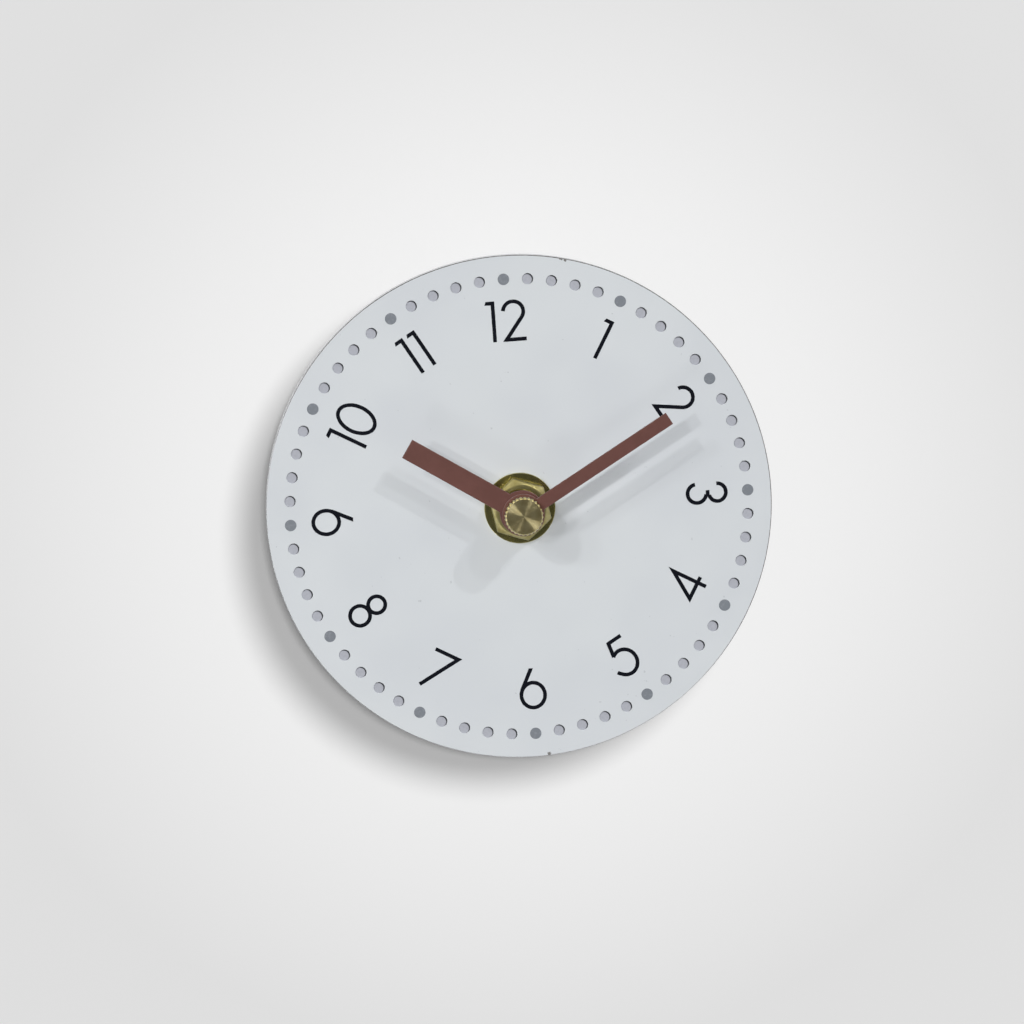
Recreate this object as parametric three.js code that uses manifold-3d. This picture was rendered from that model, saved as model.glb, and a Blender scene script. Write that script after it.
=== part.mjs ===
// A small round quartz wall clock: a white disc dial with shallow minute dots, two baton hands held by a cap
// nut, and behind the dial a standard one-cell quartz movement with its whole gear train and a hanger plate.
//
// Millimetres. Every piece is drawn with x to the right, y up towards 12 and z from the wall towards the
// viewer, with the hand shaft on the z axis. The last lines turn that frame, so that +Z is up and the dial
// faces -Y. The origin is on the hand shaft's axis in the plane of the wall.

import * as THREE from 'three';
import { mergeVertices } from 'three/addons/utils/BufferGeometryUtils.js';
import Module from 'manifold-3d';

const wasm = await Module();
wasm.setup();

// Clearances
const seatGap = 0.15; // between faces that are clamped or glued together
const fitGap = 0.1; // radial, between a piece and the hole that it is pressed or pushed into
const looseGap = 0.2; // radial, where a piece only hangs over a shaft
const runGap = 0.1; // radial, between a turning shaft and its hole
const endPlay = 0.2; // along the shaft, between a wheel and its shoulder
const layerGap = 0.8; // along the shaft, between wheels on neighbouring levels
const coverGap = 1; // from the rear cover to the first wheel
const clutchGap = 1; // from the centre wheel to the motion wheel, with the friction washer between them
const hourWheelGap = 0.9; // from the motion wheel to the hour wheel
const flangeGap = 0.3; // from the hour wheel to the bushing's flange
const contactGap = 0.3; // between the cell's ends and the contacts
const cellSlack = 0.4; // above and below the cell
const cellRecess = 0.25; // from the wall to the back of the cell
const sink = 0.2; // how far two joined solids reach into each other
const past = 1; // how far a cutting tool stands out of what it cuts

// Dial plate
const dialDiameter = 100;
const dialThickness = 3;
const dialEdgeBreak = 0.3;
const dotRingInset = 4.7;
const dotDiameter = 2.3;
const dotDepth = 0.5;
const minutes = 60;
const minutesPerHour = 5;

// Movement case
const caseCorner = 4;
const caseWall = 1.5;
const frontWall = 1.6;
const partitionWall = 1;
const coverThickness = 1.4;
const plateThickness = 1;
const clipHeights = [2, 18];
const clipWidth = 5;
const clipArm = 0.8;
const clipRise = 1.8;
const clipTongue = 0.8;
const clipReach = 0.8;
const clipGap = 0.3;

// Cell and contacts
const cellDiameter = 14;
const cellLength = 50.5;
const nubDiameter = 5.5;
const nubLength = 1.2;
const endCapThickness = 0.5;
const positiveCapInset = 1.5;
const negativeCapInset = 0.8;
const contactThickness = 0.4;
const padWidth = 11;
const padDepth = 9.4;
const leafRise = 0.8; // the least that the sprung contact bows out
const leafSpan = 9;
const leafWidth = 3.6;
const leafThickness = 0.35;
const stripBack = 2.3; // from the circuit board's back to the strips' rear edge
const stripFront = 0.6;
const railGap = 0.3;
const footWidth = 1.6;
const positiveFoot = 4;

// Shafts and nuts on the hand axis, each tube round the one inside it
const secondArborDiameter = 1;
const secondArborReach = 1;
const minuteShaftDiameter = 3.6;
const minuteFlats = 2.6;
const minuteThread = 2.5;
const minuteCollar = 0.8;
const hourPipeWall = 0.7;
const hourPipeProud = 0.3;
const bushingWall = 1.1;
const bushingStub = 1.9;
const bushingFlange = 1.6;
const flangeThickness = 0.65;
const bushingBevel = 0.3;
const frictionThickness = 0.2;
const frictionWidth = 1.4;
const cushionThickness = 1;
const cushionDiameter = 18;
const washerDiameter = 14;
const washerThickness = 0.8;
const washerBevel = 0.2;
const nutAcrossFlats = 11;
const nutThickness = 3.2;
const nutTurn = 10.3;
const nutChamfer = 0.9;
const nutCrown = 0.1;
const capDiameter = 7.7;
const capThickness = 2.25;
const capBevel = 0.35;
const capWeb = 0.7;

// Hands, with their rest angles clockwise from 12
const handThickness = 0.5;
const hourHandLength = 26.2;
const hourHandWidth = 4.2;
const hourHandAngle = -56.4;
const hourHubRim = 1.1;
const hourBushWall = 0.6;
const hourBushRim = 0.6;
const hourBushFlange = 0.7;
const hourHandStandoff = 1.4; // from the bushing's end to the back of the hour hand
const minuteHandLength = 34.2;
const minuteHandWidth = 2.6;
const minuteHubDiameter = 8.5;
const minuteHandAngle = 60.6;
const handSpacing = 3.5; // from the front of the hour hand to the back of the minute hand

// Hanger plate
const hangerThickness = 0.8;
const hangerWidth = 24;
const hangerFoot = 14; // below the shaft
const hangerTopGap = 0.8;
const hangerTabLength = 13.2;
const hangerTabStandoff = 1.2;
const hangerBend = 0.6;
const nailSlotWidth = 12;
const nailSlotHeight = 6;
const nailSlotCorner = 1.5;
const nailSlotDrop = 0.6; // below the middle of the tab
const nailNotchRise = 1.8;
const nailNotchFoot = 5.2;
const nailNotchTop = 1.2;

// Gear train: tooth counts, and the modules that set the distances between arbors
const cannonTeeth = 12;
const motionTeeth = 36;
const motionPinionTeeth = 10;
const hourTeeth = 40;
const settingTeeth = 16;
const motionModule = 0.38;
const centreTeeth = 48;
const thirdPinionTeeth = 6;
const thirdTeeth = 45;
const secondPinionTeeth = 6;
const thirdModule = 0.34;
const secondTeeth = 40;
const intermediatePinionTeeth = 8;
const intermediateTeeth = 36;
const rotorTeeth = 6;
const runningModule = 0.31;
const wheelThickness = 0.8;
const pinionOverlap = 0.3; // how far a pinion stands past the wheel that it drives
const arborDiameter = 1.1;
const pivotDiameter = 0.9;
const pivotDepth = 0.8;
const pivotInset = 0.1;
const studDiameter = 1.4;
const studCollar = 0.8;

// Bearings of the arbors from one to the next, counter-clockwise from +x
const thirdBearing = 150;
const intermediateBearing = 60;
const rotorBearing = 90;
const motionBearing = 20;
const settingBearing = -25;

// Motor
const magnetDiameter = 5.2;
const magnetBore = 2.4;
const magnetRise = 1; // from the intermediate wheel to the magnet
const rotorPinionGap = 0.5;
const rotorGap = 0.3;
const statorWall = 1.2;
const statorThickness = 1;
const statorArm = 3.2;
const statorLeft = -14.6;
const statorRight = 17.4;
const statorDrop = 0.7; // from the middle plate back to the stator
const coreHeight = 2.8;
const coilDiameter = 8;
const coilArmGap = 1.4;
const coilTopGap = 0.9;
const coilEndGap = 0.75;
const windingDiameter = 7.2;
const windingBore = 4.6;
const bobbinFlange = 0.8;
const motorPinDiameter = 1.4;
const motorPostDiameter = 2.8;

// Middle plate and its posts
const plateMargin = 1.8;
const plateWallGap = 1;
const platePartitionGap = 0.5;
const plateCoilGap = 0.8;
const postInset = 2.2;
const postDiameter = 3;
const pegDiameter = 1.6;

// Setting knob
const knobDiameter = 10.6;
const knobThickness = 1.7;
const knobInset = 0.3; // from the wall to the knob
const knobBevel = 0.3;
const knobRim = 0.8;
const knobPocket = 1;
const knobGrip = 1.6;
const knobGap = 0.7;
const knobFloorGap = 0.4;
const recessWall = 0.8;
const recessFloor = 1;
const settingShaftDiameter = 2.4;
const settingShoulder = 0.7;

// Circuit board
const boardBottom = -6.5;
const boardHeight = 18;
const boardThickness = 0.8;
const boardShaftGap = 0.8;
const boardWallGap = 1;
const boardStep = 0.5; // between the pieces on the board
const footHeight = 2;
const crystalDiameter = 2;
const crystalLength = 6;
const chipRadius = 1.7;
const chipHeight = 0.9;
const screwInset = 2;
const screwHead = 2.4;
const screwHeadHeight = 0.7;
const screwShank = 1;
const screwDrive = [1.4, 0.3];
const screwDriveDepth = 0.3;

// Tooth outlines, as [distance outside the pitch circle, tooth width] in modules from root to tip
const wheelTooth = [[-1.2, 1.6], [0.85, 0.4]];
const pinionTooth = [[-1.2, 0.8], [0, 1.25], [0.75, 0.45]];

// ---------------------------------------------------------------- solids

const radians = THREE.MathUtils.degToRad;
const centreAt = [0, 0];

function toSolid(geometry) {
  const bare = geometry.clone();
  bare.deleteAttribute('normal');
  bare.deleteAttribute('uv');
  const merged = mergeVertices(bare);
  const index = merged.index.array;
  const corners = [];
  for (let i = 0; i < index.length; i += 3) {
    const [a, b, c] = [index[i], index[i + 1], index[i + 2]];
    if (a !== b && b !== c && c !== a) corners.push(a, b, c);
  }
  return new wasm.Manifold(new wasm.Mesh({
    numProp: 3,
    vertProperties: new Float32Array(merged.attributes.position.array),
    triVerts: new Uint32Array(corners),
  }));
}

function toGeometry(solid) {
  const mesh = solid.getMesh();
  const geometry = new THREE.BufferGeometry();
  geometry.setAttribute('position', new THREE.BufferAttribute(mesh.vertProperties, 3));
  geometry.setIndex(new THREE.BufferAttribute(mesh.triVerts, 1));
  geometry.computeVertexNormals();
  return geometry;
}

function join(...geometries) {
  return toGeometry(geometries.map(toSolid).reduce((all, next) => all.add(next)));
}

function cut(geometry, ...tools) {
  return toGeometry(tools.map(toSolid).reduce((left, tool) => left.subtract(tool), toSolid(geometry)));
}

function common(geometry, other) {
  return toGeometry(toSolid(geometry).intersect(toSolid(other)));
}

// A cylinder along z between two heights.
function rod(diameter, low, high, [x, y] = centreAt, segments = 24) {
  const geometry = new THREE.CylinderGeometry(diameter / 2, diameter / 2, high - low, segments);
  return geometry.rotateX(Math.PI / 2).translate(x, y, (low + high) / 2);
}

// A cylinder along x between two ends.
function bar(diameter, left, right, [y, z], segments = 24) {
  const geometry = new THREE.CylinderGeometry(diameter / 2, diameter / 2, right - left, segments);
  return geometry.rotateZ(Math.PI / 2).translate((left + right) / 2, y, z);
}

function block([x0, y0, z0], [x1, y1, z1]) {
  const geometry = new THREE.BoxGeometry(x1 - x0, y1 - y0, z1 - z0);
  return geometry.translate((x0 + x1) / 2, (y0 + y1) / 2, (z0 + z1) / 2);
}

function extruded(shape, low, high, curveSegments = 6) {
  const settings = { depth: high - low, bevelEnabled: false, curveSegments };
  return new THREE.ExtrudeGeometry(shape, settings).translate(0, 0, low);
}

// A solid of revolution about z. The [radius, height] points run counter-clockwise, from axis to axis or
// round a ring and back to their start.
function turned(profile, segments = 36) {
  const points = profile.map(([radius, height]) => new THREE.Vector2(radius, height));
  const lathe = new THREE.LatheGeometry(points, segments);
  return toGeometry(toSolid(lathe.rotateX(Math.PI / 2)));
}

// A disc whose rims are broken by a small bevel.
function bevelledDisc(diameter, low, high, bevel, segments) {
  const radius = diameter / 2;
  return turned([
    [0, low], [radius - bevel, low], [radius, low + bevel],
    [radius, high - bevel], [radius - bevel, high], [0, high],
  ], segments);
}

function roundedRect(width, height, radius) {
  const shape = new THREE.Shape();
  const x = width / 2 - radius;
  const y = height / 2 - radius;
  shape.absarc(x, y, radius, 0, Math.PI / 2);
  shape.absarc(-x, y, radius, Math.PI / 2, Math.PI);
  shape.absarc(-x, -y, radius, Math.PI, 1.5 * Math.PI);
  shape.absarc(x, -y, radius, 1.5 * Math.PI, 2 * Math.PI);
  shape.closePath();
  return shape;
}

function away([x, y], distance, bearing) {
  return [x + distance * Math.cos(radians(bearing)), y + distance * Math.sin(radians(bearing))];
}

// ---------------------------------------------------------------- gears

// A toothed disc about z, with one tooth centred on the angle phase (radians).
function gear({ teeth, module, tooth, phase, low, high }) {
  const pitchRadius = teeth * module / 2;
  const flank = tooth.map(([out, width]) => {
    const radius = pitchRadius + out * module;
    return [radius, width * module / 2 / radius];
  });
  const points = [];
  for (let i = 0; i < teeth; i += 1) {
    const middle = phase + 2 * Math.PI * i / teeth;
    for (const [radius, half] of flank) points.push([radius, middle - half]);
    for (const [radius, half] of [...flank].reverse()) points.push([radius, middle + half]);
  }
  const outline = points.map(([radius, angle]) => (
    new THREE.Vector2(radius * Math.cos(angle), radius * Math.sin(angle))));
  return extruded(new THREE.Shape(outline), low, high, 1);
}

function tipRadius(teeth, module, tooth) {
  return module * (teeth / 2 + tooth.at(-1)[0]);
}

function rootRadius(teeth, module, tooth) {
  return module * (teeth / 2 + tooth[0][0]);
}

function arborDistance(teethA, teethB, module) {
  return module * (teethA + teethB) / 2;
}

// The phase that puts gear B in mesh with gear A, where bearing is the direction from A's axis to B's.
function meshed(phaseA, teethA, teethB, bearing) {
  const line = radians(bearing);
  return line + Math.PI + Math.PI / teethB - (phaseA - line) * teethA / teethB;
}

// An arbor with a thinner pivot at each end, past the shoulder.
function arbor(low, high, shoulder) {
  return join(
    rod(pivotDiameter, low, high, centreAt, 8),
    rod(arborDiameter, low + pivotDepth, shoulder, centreAt, 12),
  );
}

// ---------------------------------------------------------------- levels, from the wall forwards

const rearPivot = coverThickness - pivotDepth + seatGap;
const intermediateLevel = coverThickness + coverGap;
const secondLevel = intermediateLevel + wheelThickness + layerGap;
const thirdLevel = secondLevel + wheelThickness + layerGap;
const plateLevel = thirdLevel + wheelThickness + layerGap;
const plateFront = plateLevel + plateThickness;
const centreLevel = plateFront + layerGap;
const motionLevel = centreLevel + wheelThickness + clutchGap;
const hourLevel = motionLevel + wheelThickness + hourWheelGap;
const hourWheelFront = hourLevel + wheelThickness;
const trainDepth = hourWheelFront + flangeGap + flangeThickness + seatGap;
const cellDepth = cellRecess + cellDiameter + seatGap;
const frontInside = Math.max(trainDepth, cellDepth);
const caseFront = frontInside + frontWall;
const frontPivot = frontInside + pivotDepth - seatGap;
const hangerBack = caseFront + seatGap;
const cushionBack = hangerBack + hangerThickness + seatGap;
const dialBack = cushionBack + cushionThickness + seatGap;
const dialFront = dialBack + dialThickness;
const washerBack = dialFront + seatGap;
const nutBack = washerBack + washerThickness + seatGap;
const nutFront = nutBack + nutThickness;
const bushingEnd = nutFront + bushingStub;
const hourHandBack = bushingEnd + hourHandStandoff;
const hourPipeEnd = hourHandBack + handThickness + hourPipeProud;
const minuteHandBack = hourHandBack + handThickness + handSpacing;
const capBack = minuteHandBack + handThickness + seatGap;
const capFront = capBack + capThickness;
const knobFront = knobInset + knobThickness;
const recessDepth = knobFront + knobFloorGap;

// Tubes round the hand axis
const staffDiameter = 2 * rootRadius(cannonTeeth, motionModule, pinionTooth);
const hourPipeDiameter = minuteShaftDiameter + 2 * (runGap + hourPipeWall);
const hourBushNeck = hourPipeDiameter + 2 * (fitGap + hourBushWall);
const hourHubDiameter = hourBushNeck + 2 * (fitGap + hourHubRim);
const bushingDiameter = hourPipeDiameter + 2 * (looseGap + bushingWall);

// Places of the arbors, [x, y] from the hand shaft
const thirdDistance = arborDistance(secondPinionTeeth, thirdTeeth, thirdModule);
const thirdPinionModule = 2 * thirdDistance / (thirdPinionTeeth + centreTeeth);
const thirdAt = away(centreAt, thirdDistance, thirdBearing);
const intermediateAt = away(
  centreAt, arborDistance(secondTeeth, intermediatePinionTeeth, runningModule), intermediateBearing);
const rotorAt = away(
  intermediateAt, arborDistance(intermediateTeeth, rotorTeeth, runningModule), rotorBearing);
const motionDistance = arborDistance(cannonTeeth, motionTeeth, motionModule);
const hourModule = 2 * motionDistance / (motionPinionTeeth + hourTeeth);
const motionAt = away(centreAt, motionDistance, motionBearing);
const settingAt = away(motionAt, arborDistance(motionTeeth, settingTeeth, motionModule), settingBearing);

// Walls of the case, [x, y]. The square case holds the cell and its contacts across, and the motor above
// the shaft, and the sprung contact takes up the room that the cell leaves.
const cellSpan = (cellLength + leafRise) / 2 + contactGap + contactThickness + seatGap;
const motorSpan = rotorAt[1] + statorArm + coilArmGap + coilDiameter + coilTopGap;
const inside = Math.max(cellSpan, motorSpan);
const caseWidth = 2 * (inside + caseWall);
const contactBack = inside - seatGap;
const contactFace = contactBack - contactThickness;
const leafReach = 2 * (contactFace - contactGap) - cellLength;
const partitionLow = -inside + cellDiameter + 2 * cellSlack;
const partitionHigh = partitionLow + partitionWall;
const cellAxis = [-inside + cellSlack + cellDiameter / 2, frontInside - seatGap - cellDiameter / 2];
const cellLeft = -contactFace + leafReach + contactGap;

// The stator, the coil and the pins that hold them
const statorFront = plateLevel - statorDrop;
const statorBack = statorFront - statorThickness;
const coreBack = statorFront + seatGap;
const coreFront = coreBack + statorThickness;
const coilAt = [inside - coilTopGap - coilDiameter / 2, (coreBack + coreFront) / 2];
const motorPins = [statorLeft + statorArm / 2, statorRight - statorArm / 2].map((x) => [x, coilAt[0]]);

// The middle plate and the posts that carry it
const plateEdges = {
  left: Math.min(statorLeft, thirdAt[0] - tipRadius(thirdTeeth, thirdModule, wheelTooth)) - plateMargin,
  right: inside - plateWallGap,
  bottom: partitionHigh + platePartitionGap,
  top: coilAt[0] - coilDiameter / 2 - plateCoilGap,
};
const platePosts = [plateEdges.left + postInset, plateEdges.right - postInset].flatMap((x) => (
  [plateEdges.bottom + postInset, plateEdges.top - postInset].map((y) => [x, y])));

// The circuit board, under the middle plate between the setting shaft and the wall
const boardFront = plateLevel - seatGap;
const boardBack = boardFront - boardThickness;
const boardLeft = settingAt[0] + settingShaftDiameter / 2 + boardShaftGap;
const boardRight = inside - boardWallGap;
const boardMiddle = (boardLeft + boardRight) / 2;
const footTop = boardBottom + footHeight;
const screwAt = [boardMiddle, boardBottom + boardHeight - screwInset];
const contactBand = [boardBack - stripBack, boardBack + stripFront];
const footBand = [boardBack - seatGap - contactThickness, boardBack - seatGap];

// Cover clips, in pairs on the left and right walls
const clipBack = coverThickness + clipArm;
const clipFront = clipBack + clipTongue;

// ---------------------------------------------------------------- the scene

const clock = new THREE.Group();

function finish(color, roughness, metalness = 0) {
  return new THREE.MeshStandardMaterial({ color, roughness, metalness });
}

const white = finish(0xd1d5d8, 0.55);
const brass = finish(0xb09a5a, 0.3, 1);
const steel = finish(0xa8abae, 0.35, 1);
const brown = finish(0x66453f, 0.5, 0.2);
const blackPlastic = finish(0x1b1c1e, 0.6);
const gearPlastic = finish(0xe6e4da, 0.5);
const blackRubber = finish(0x151515, 0.9);
const copper = finish(0xa8552e, 0.35, 1);
const boardGreen = finish(0x1d5a3a, 0.6);
const magnetGrey = finish(0x3c3d40, 0.4, 0.8);
const cellJacket = finish(0x2d4f6e, 0.4, 0.3);

function piece(name, material, geometry, at = [0, 0], turn = 0) {
  const mesh = new THREE.Mesh(geometry, material);
  mesh.name = name;
  mesh.position.set(at[0], at[1], 0);
  mesh.rotation.z = radians(turn);
  clock.add(mesh);
  return mesh;
}

// ---------------------------------------------------------------- dial and hardware

function dialPlate() {
  const plate = bevelledDisc(dialDiameter, dialBack, dialFront, dialEdgeBreak, 84);
  const dotRing = dialDiameter / 2 - dotRingInset;
  const dots = [];
  for (let minute = 0; minute < minutes; minute += 1) {
    if (minute % minutesPerHour === 0) continue;
    const at = away(centreAt, dotRing, 90 - 360 * minute / minutes);
    dots.push(rod(dotDiameter, dialFront - dotDepth, dialFront + past, at, 8));
  }
  const hole = rod(bushingDiameter + 2 * looseGap, dialBack - past, dialFront + past);
  piece('dial_plate', white, cut(plate, hole, join(...dots)));
}

function cushionWasher() {
  const ring = rod(cushionDiameter, cushionBack, cushionBack + cushionThickness);
  const hole = rod(bushingDiameter + 2 * fitGap, cushionBack - past, dialBack);
  piece('cushion_washer', blackRubber, cut(ring, hole));
}

function brassWasher() {
  const disc = bevelledDisc(washerDiameter, washerBack, washerBack + washerThickness, washerBevel, 40);
  const hole = rod(bushingDiameter + 2 * fitGap, washerBack - past, nutBack);
  piece('brass_washer', brass, cut(disc, hole));
}

function hexNut() {
  const corner = nutAcrossFlats / Math.sqrt(3);
  const hexagon = new THREE.CylinderGeometry(corner, corner, nutThickness, 6);
  hexagon.rotateX(Math.PI / 2).rotateZ(radians(nutTurn));
  hexagon.translate(0, 0, (nutBack + nutFront) / 2);
  const blank = bevelledDisc(2 * (corner + nutCrown), nutBack, nutFront, nutChamfer, 36);
  const hole = rod(bushingDiameter + 2 * fitGap, nutBack - past, nutFront + past);
  piece('hex_nut', brass, cut(common(hexagon, blank), hole));
}

function threadedBushing() {
  const front = frontInside - seatGap;
  const back = front - flangeThickness;
  const body = join(
    rod(bushingDiameter + 2 * bushingFlange, back, front),
    bevelledDisc(bushingDiameter, back + bushingBevel, bushingEnd, bushingBevel, 28),
  );
  const bore = rod(hourPipeDiameter + 2 * looseGap, back - past, bushingEnd + past);
  piece('threaded_bushing', brass, cut(body, bore));
}

function capNut() {
  const cap = bevelledDisc(capDiameter, capBack, capFront, capBevel, 40);
  const bore = rod(minuteThread + 2 * fitGap, capBack - past, capFront - capWeb, centreAt, 16);
  piece('cap_nut', brass, cut(cap, bore));
}

// A bent strip: a foot clamped under the dial, a step back over the top of the case, and a tab by the wall
// with the slot that hangs over the nail.
function hangerProfile() {
  const stepBack = caseWidth / 2 + hangerTopGap;
  const stepFront = stepBack + hangerThickness;
  const tabFront = hangerTabStandoff + hangerThickness;
  const footFront = hangerBack + hangerThickness;
  const outer = hangerBend + hangerThickness;
  const profile = new THREE.Shape();
  profile.moveTo(-hangerFoot, hangerBack);
  profile.lineTo(stepBack - hangerBend, hangerBack);
  profile.absarc(stepBack - hangerBend, hangerBack - hangerBend, hangerBend, Math.PI / 2, 0, true);
  profile.absarc(stepBack + outer, hangerTabStandoff + outer, outer, Math.PI, 1.5 * Math.PI);
  profile.lineTo(stepFront + hangerBend + hangerTabLength, hangerTabStandoff);
  profile.lineTo(stepFront + hangerBend + hangerTabLength, tabFront);
  profile.absarc(stepFront + hangerBend, tabFront + hangerBend, hangerBend, 1.5 * Math.PI, Math.PI, true);
  profile.absarc(stepBack - hangerBend, footFront - outer, outer, 0, Math.PI / 2);
  profile.lineTo(-hangerFoot, footFront);
  profile.closePath();
  return profile;
}

function hangerPlate() {
  const strip = extruded(hangerProfile(), -hangerWidth / 2, hangerWidth / 2, 4);
  // the profile's x, y and depth become the clock's y, z and x
  strip.applyMatrix4(new THREE.Matrix4().makeBasis(
    new THREE.Vector3(0, 1, 0), new THREE.Vector3(0, 0, 1), new THREE.Vector3(1, 0, 0)));
  const tabLow = caseWidth / 2 + hangerTopGap + hangerThickness + hangerBend;
  const slotMiddle = tabLow + hangerTabLength / 2 - nailSlotDrop;
  const slotTop = slotMiddle + nailSlotHeight / 2;
  const toolFront = hangerTabStandoff + hangerThickness + past;
  const slot = extruded(roundedRect(nailSlotWidth, nailSlotHeight, nailSlotCorner), 0, toolFront);
  slot.translate(0, slotMiddle, 0);
  const notch = extruded(new THREE.Shape([
    new THREE.Vector2(-nailNotchFoot / 2, slotTop - sink),
    new THREE.Vector2(nailNotchFoot / 2, slotTop - sink),
    new THREE.Vector2(nailNotchTop / 2, slotTop + nailNotchRise),
    new THREE.Vector2(-nailNotchTop / 2, slotTop + nailNotchRise),
  ]), 0, toolFront);
  const shaftHole = rod(bushingDiameter + 2 * fitGap, hangerBack - past, cushionBack);
  piece('hanger_plate', steel, cut(strip, slot, notch, shaftHole));
}

// ---------------------------------------------------------------- hands

// A baton that points to 12, with a round hub.
function baton(length, width, hubDiameter, back) {
  return join(
    block([-width / 2, 0, back], [width / 2, length, back + handThickness]),
    rod(hubDiameter, back, back + handThickness, centreAt, 48),
  );
}

function hourHand() {
  const hole = rod(hourBushNeck + 2 * fitGap, hourHandBack - past, hourHandBack + handThickness + past);
  const hand = cut(baton(hourHandLength, hourHandWidth, hourHubDiameter, hourHandBack), hole);
  piece('hour_hand', brown, hand, centreAt, -hourHandAngle);
}

function hourHandBush() {
  const bore = hourPipeDiameter / 2 + fitGap;
  const neck = hourBushNeck / 2;
  const flange = neck + hourBushRim;
  const shelf = hourHandBack - seatGap;
  const low = shelf - hourBushFlange;
  const high = hourHandBack + handThickness;
  const ring = [[bore, low], [flange, low], [flange, shelf], [neck, shelf], [neck, high], [bore, high]];
  piece('hour_hand_bush', brass, turned([...ring, ring[0]], 28));
}

// The oblong end of the minute shaft, which keys the minute hand. It turns with the hand.
function oblong(diameter, flats, low, high) {
  const round = rod(diameter, low, high);
  const sides = block([-flats / 2, -diameter, low - past], [flats / 2, diameter, high + past]);
  return common(round, sides);
}

function minuteHand() {
  const keyhole = oblong(
    minuteShaftDiameter + 2 * fitGap, minuteFlats + 2 * fitGap, minuteHandBack - past, capBack + past);
  const hand = baton(minuteHandLength, minuteHandWidth, minuteHubDiameter, minuteHandBack);
  piece('minute_hand', brown, cut(hand, keyhole), centreAt, -minuteHandAngle);
}

// ---------------------------------------------------------------- motion work, in front of the middle plate

const cannonPhase = 0;
const motionPhase = meshed(cannonPhase, cannonTeeth, motionTeeth, motionBearing);
const motionPinionPhase = 0;
const hourPhase = meshed(motionPinionPhase, motionPinionTeeth, hourTeeth, motionBearing + 180);
const settingPhase = meshed(motionPhase, motionTeeth, settingTeeth, settingBearing);

function minuteShaft() {
  const low = plateFront + seatGap;
  const shoulder = minuteHandBack - seatGap;
  const cannonFront = motionLevel + wheelThickness + pinionOverlap;
  const end = oblong(minuteShaftDiameter, minuteFlats, shoulder - sink, minuteHandBack + handThickness);
  const body = join(
    rod(staffDiameter + 2 * minuteCollar, low, centreLevel - endPlay),
    rod(staffDiameter, low, motionLevel),
    gear({
      teeth: cannonTeeth, module: motionModule, tooth: pinionTooth, phase: cannonPhase,
      low: motionLevel - pinionOverlap, high: cannonFront,
    }),
    rod(minuteShaftDiameter, cannonFront - pinionOverlap / 2, shoulder),
    end.rotateZ(radians(-minuteHandAngle)),
    rod(minuteThread, minuteHandBack, capFront - capWeb - endPlay, centreAt, 14),
  );
  const bore = rod(
    secondArborDiameter + 2 * looseGap, low - past, frontInside + secondArborReach, centreAt, 12);
  piece('minute_shaft', steel, cut(body, bore));
}

function frictionWasher() {
  const low = centreLevel + wheelThickness + seatGap;
  const high = motionLevel - pinionOverlap - seatGap;
  const inner = staffDiameter / 2 + runGap;
  const outer = inner + frictionWidth;
  const ring = [
    [inner, high - frictionThickness], [outer, low], [outer, low + frictionThickness], [inner, high],
  ];
  piece('friction_washer', brass, turned([...ring, ring[0]], 20));
}

function centreWheel() {
  const wheel = gear({
    teeth: centreTeeth, module: thirdPinionModule, tooth: wheelTooth,
    phase: meshed(0, thirdPinionTeeth, centreTeeth, thirdBearing + 180),
    low: centreLevel, high: centreLevel + wheelThickness,
  });
  const bore = rod(staffDiameter + 2 * runGap, 0, caseFront);
  piece('centre_wheel', gearPlastic, cut(wheel, bore));
}

function motionWheel() {
  const wheel = join(
    gear({
      teeth: motionTeeth, module: motionModule, tooth: wheelTooth, phase: motionPhase,
      low: motionLevel, high: motionLevel + wheelThickness,
    }),
    gear({
      teeth: motionPinionTeeth, module: hourModule, tooth: pinionTooth, phase: motionPinionPhase,
      low: motionLevel, high: hourWheelFront + endPlay,
    }),
  );
  const bore = rod(studDiameter + 2 * runGap, 0, caseFront, centreAt, 12);
  piece('motion_wheel', gearPlastic, cut(wheel, bore), motionAt);
}

function hourWheel() {
  const wheel = join(
    gear({
      teeth: hourTeeth, module: hourModule, tooth: wheelTooth, phase: hourPhase,
      low: hourLevel, high: hourWheelFront,
    }),
    rod(hourPipeDiameter, hourLevel, hourPipeEnd),
  );
  const bore = rod(minuteShaftDiameter + 2 * runGap, 0, hourPipeEnd + past);
  piece('hour_wheel', gearPlastic, cut(wheel, bore));
}

function settingKnob() {
  const shaftEnd = motionLevel + wheelThickness + settingShoulder;
  const pocketFront = knobInset + knobPocket;
  const pocket = cut(
    rod(knobDiameter - 2 * knobRim, knobInset - past, pocketFront),
    block(
      [-knobGrip / 2, -knobDiameter, knobInset - 2 * past],
      [knobGrip / 2, knobDiameter, pocketFront + past]),
  );
  const knob = join(
    cut(bevelledDisc(knobDiameter, knobInset, knobFront, knobBevel, 32), pocket),
    rod(settingShaftDiameter, knobFront - sink, shaftEnd, centreAt, 14),
    rod(studDiameter, shaftEnd - sink, frontPivot, centreAt, 10),
  );
  piece('setting_knob', gearPlastic, knob, settingAt);
}

function settingPinion() {
  const pinion = gear({
    teeth: settingTeeth, module: motionModule, tooth: pinionTooth, phase: settingPhase,
    low: motionLevel - pinionOverlap, high: motionLevel + wheelThickness + pinionOverlap,
  });
  const bore = rod(settingShaftDiameter + 2 * fitGap, 0, caseFront, centreAt, 14);
  piece('setting_pinion', gearPlastic, cut(pinion, bore), settingAt);
}

// ---------------------------------------------------------------- running train, behind the middle plate

const thirdPhase = meshed(0, secondPinionTeeth, thirdTeeth, thirdBearing);
const intermediatePinionPhase = meshed(0, secondTeeth, intermediatePinionTeeth, intermediateBearing);
const rotorPhase = meshed(0, intermediateTeeth, rotorTeeth, rotorBearing);

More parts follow.
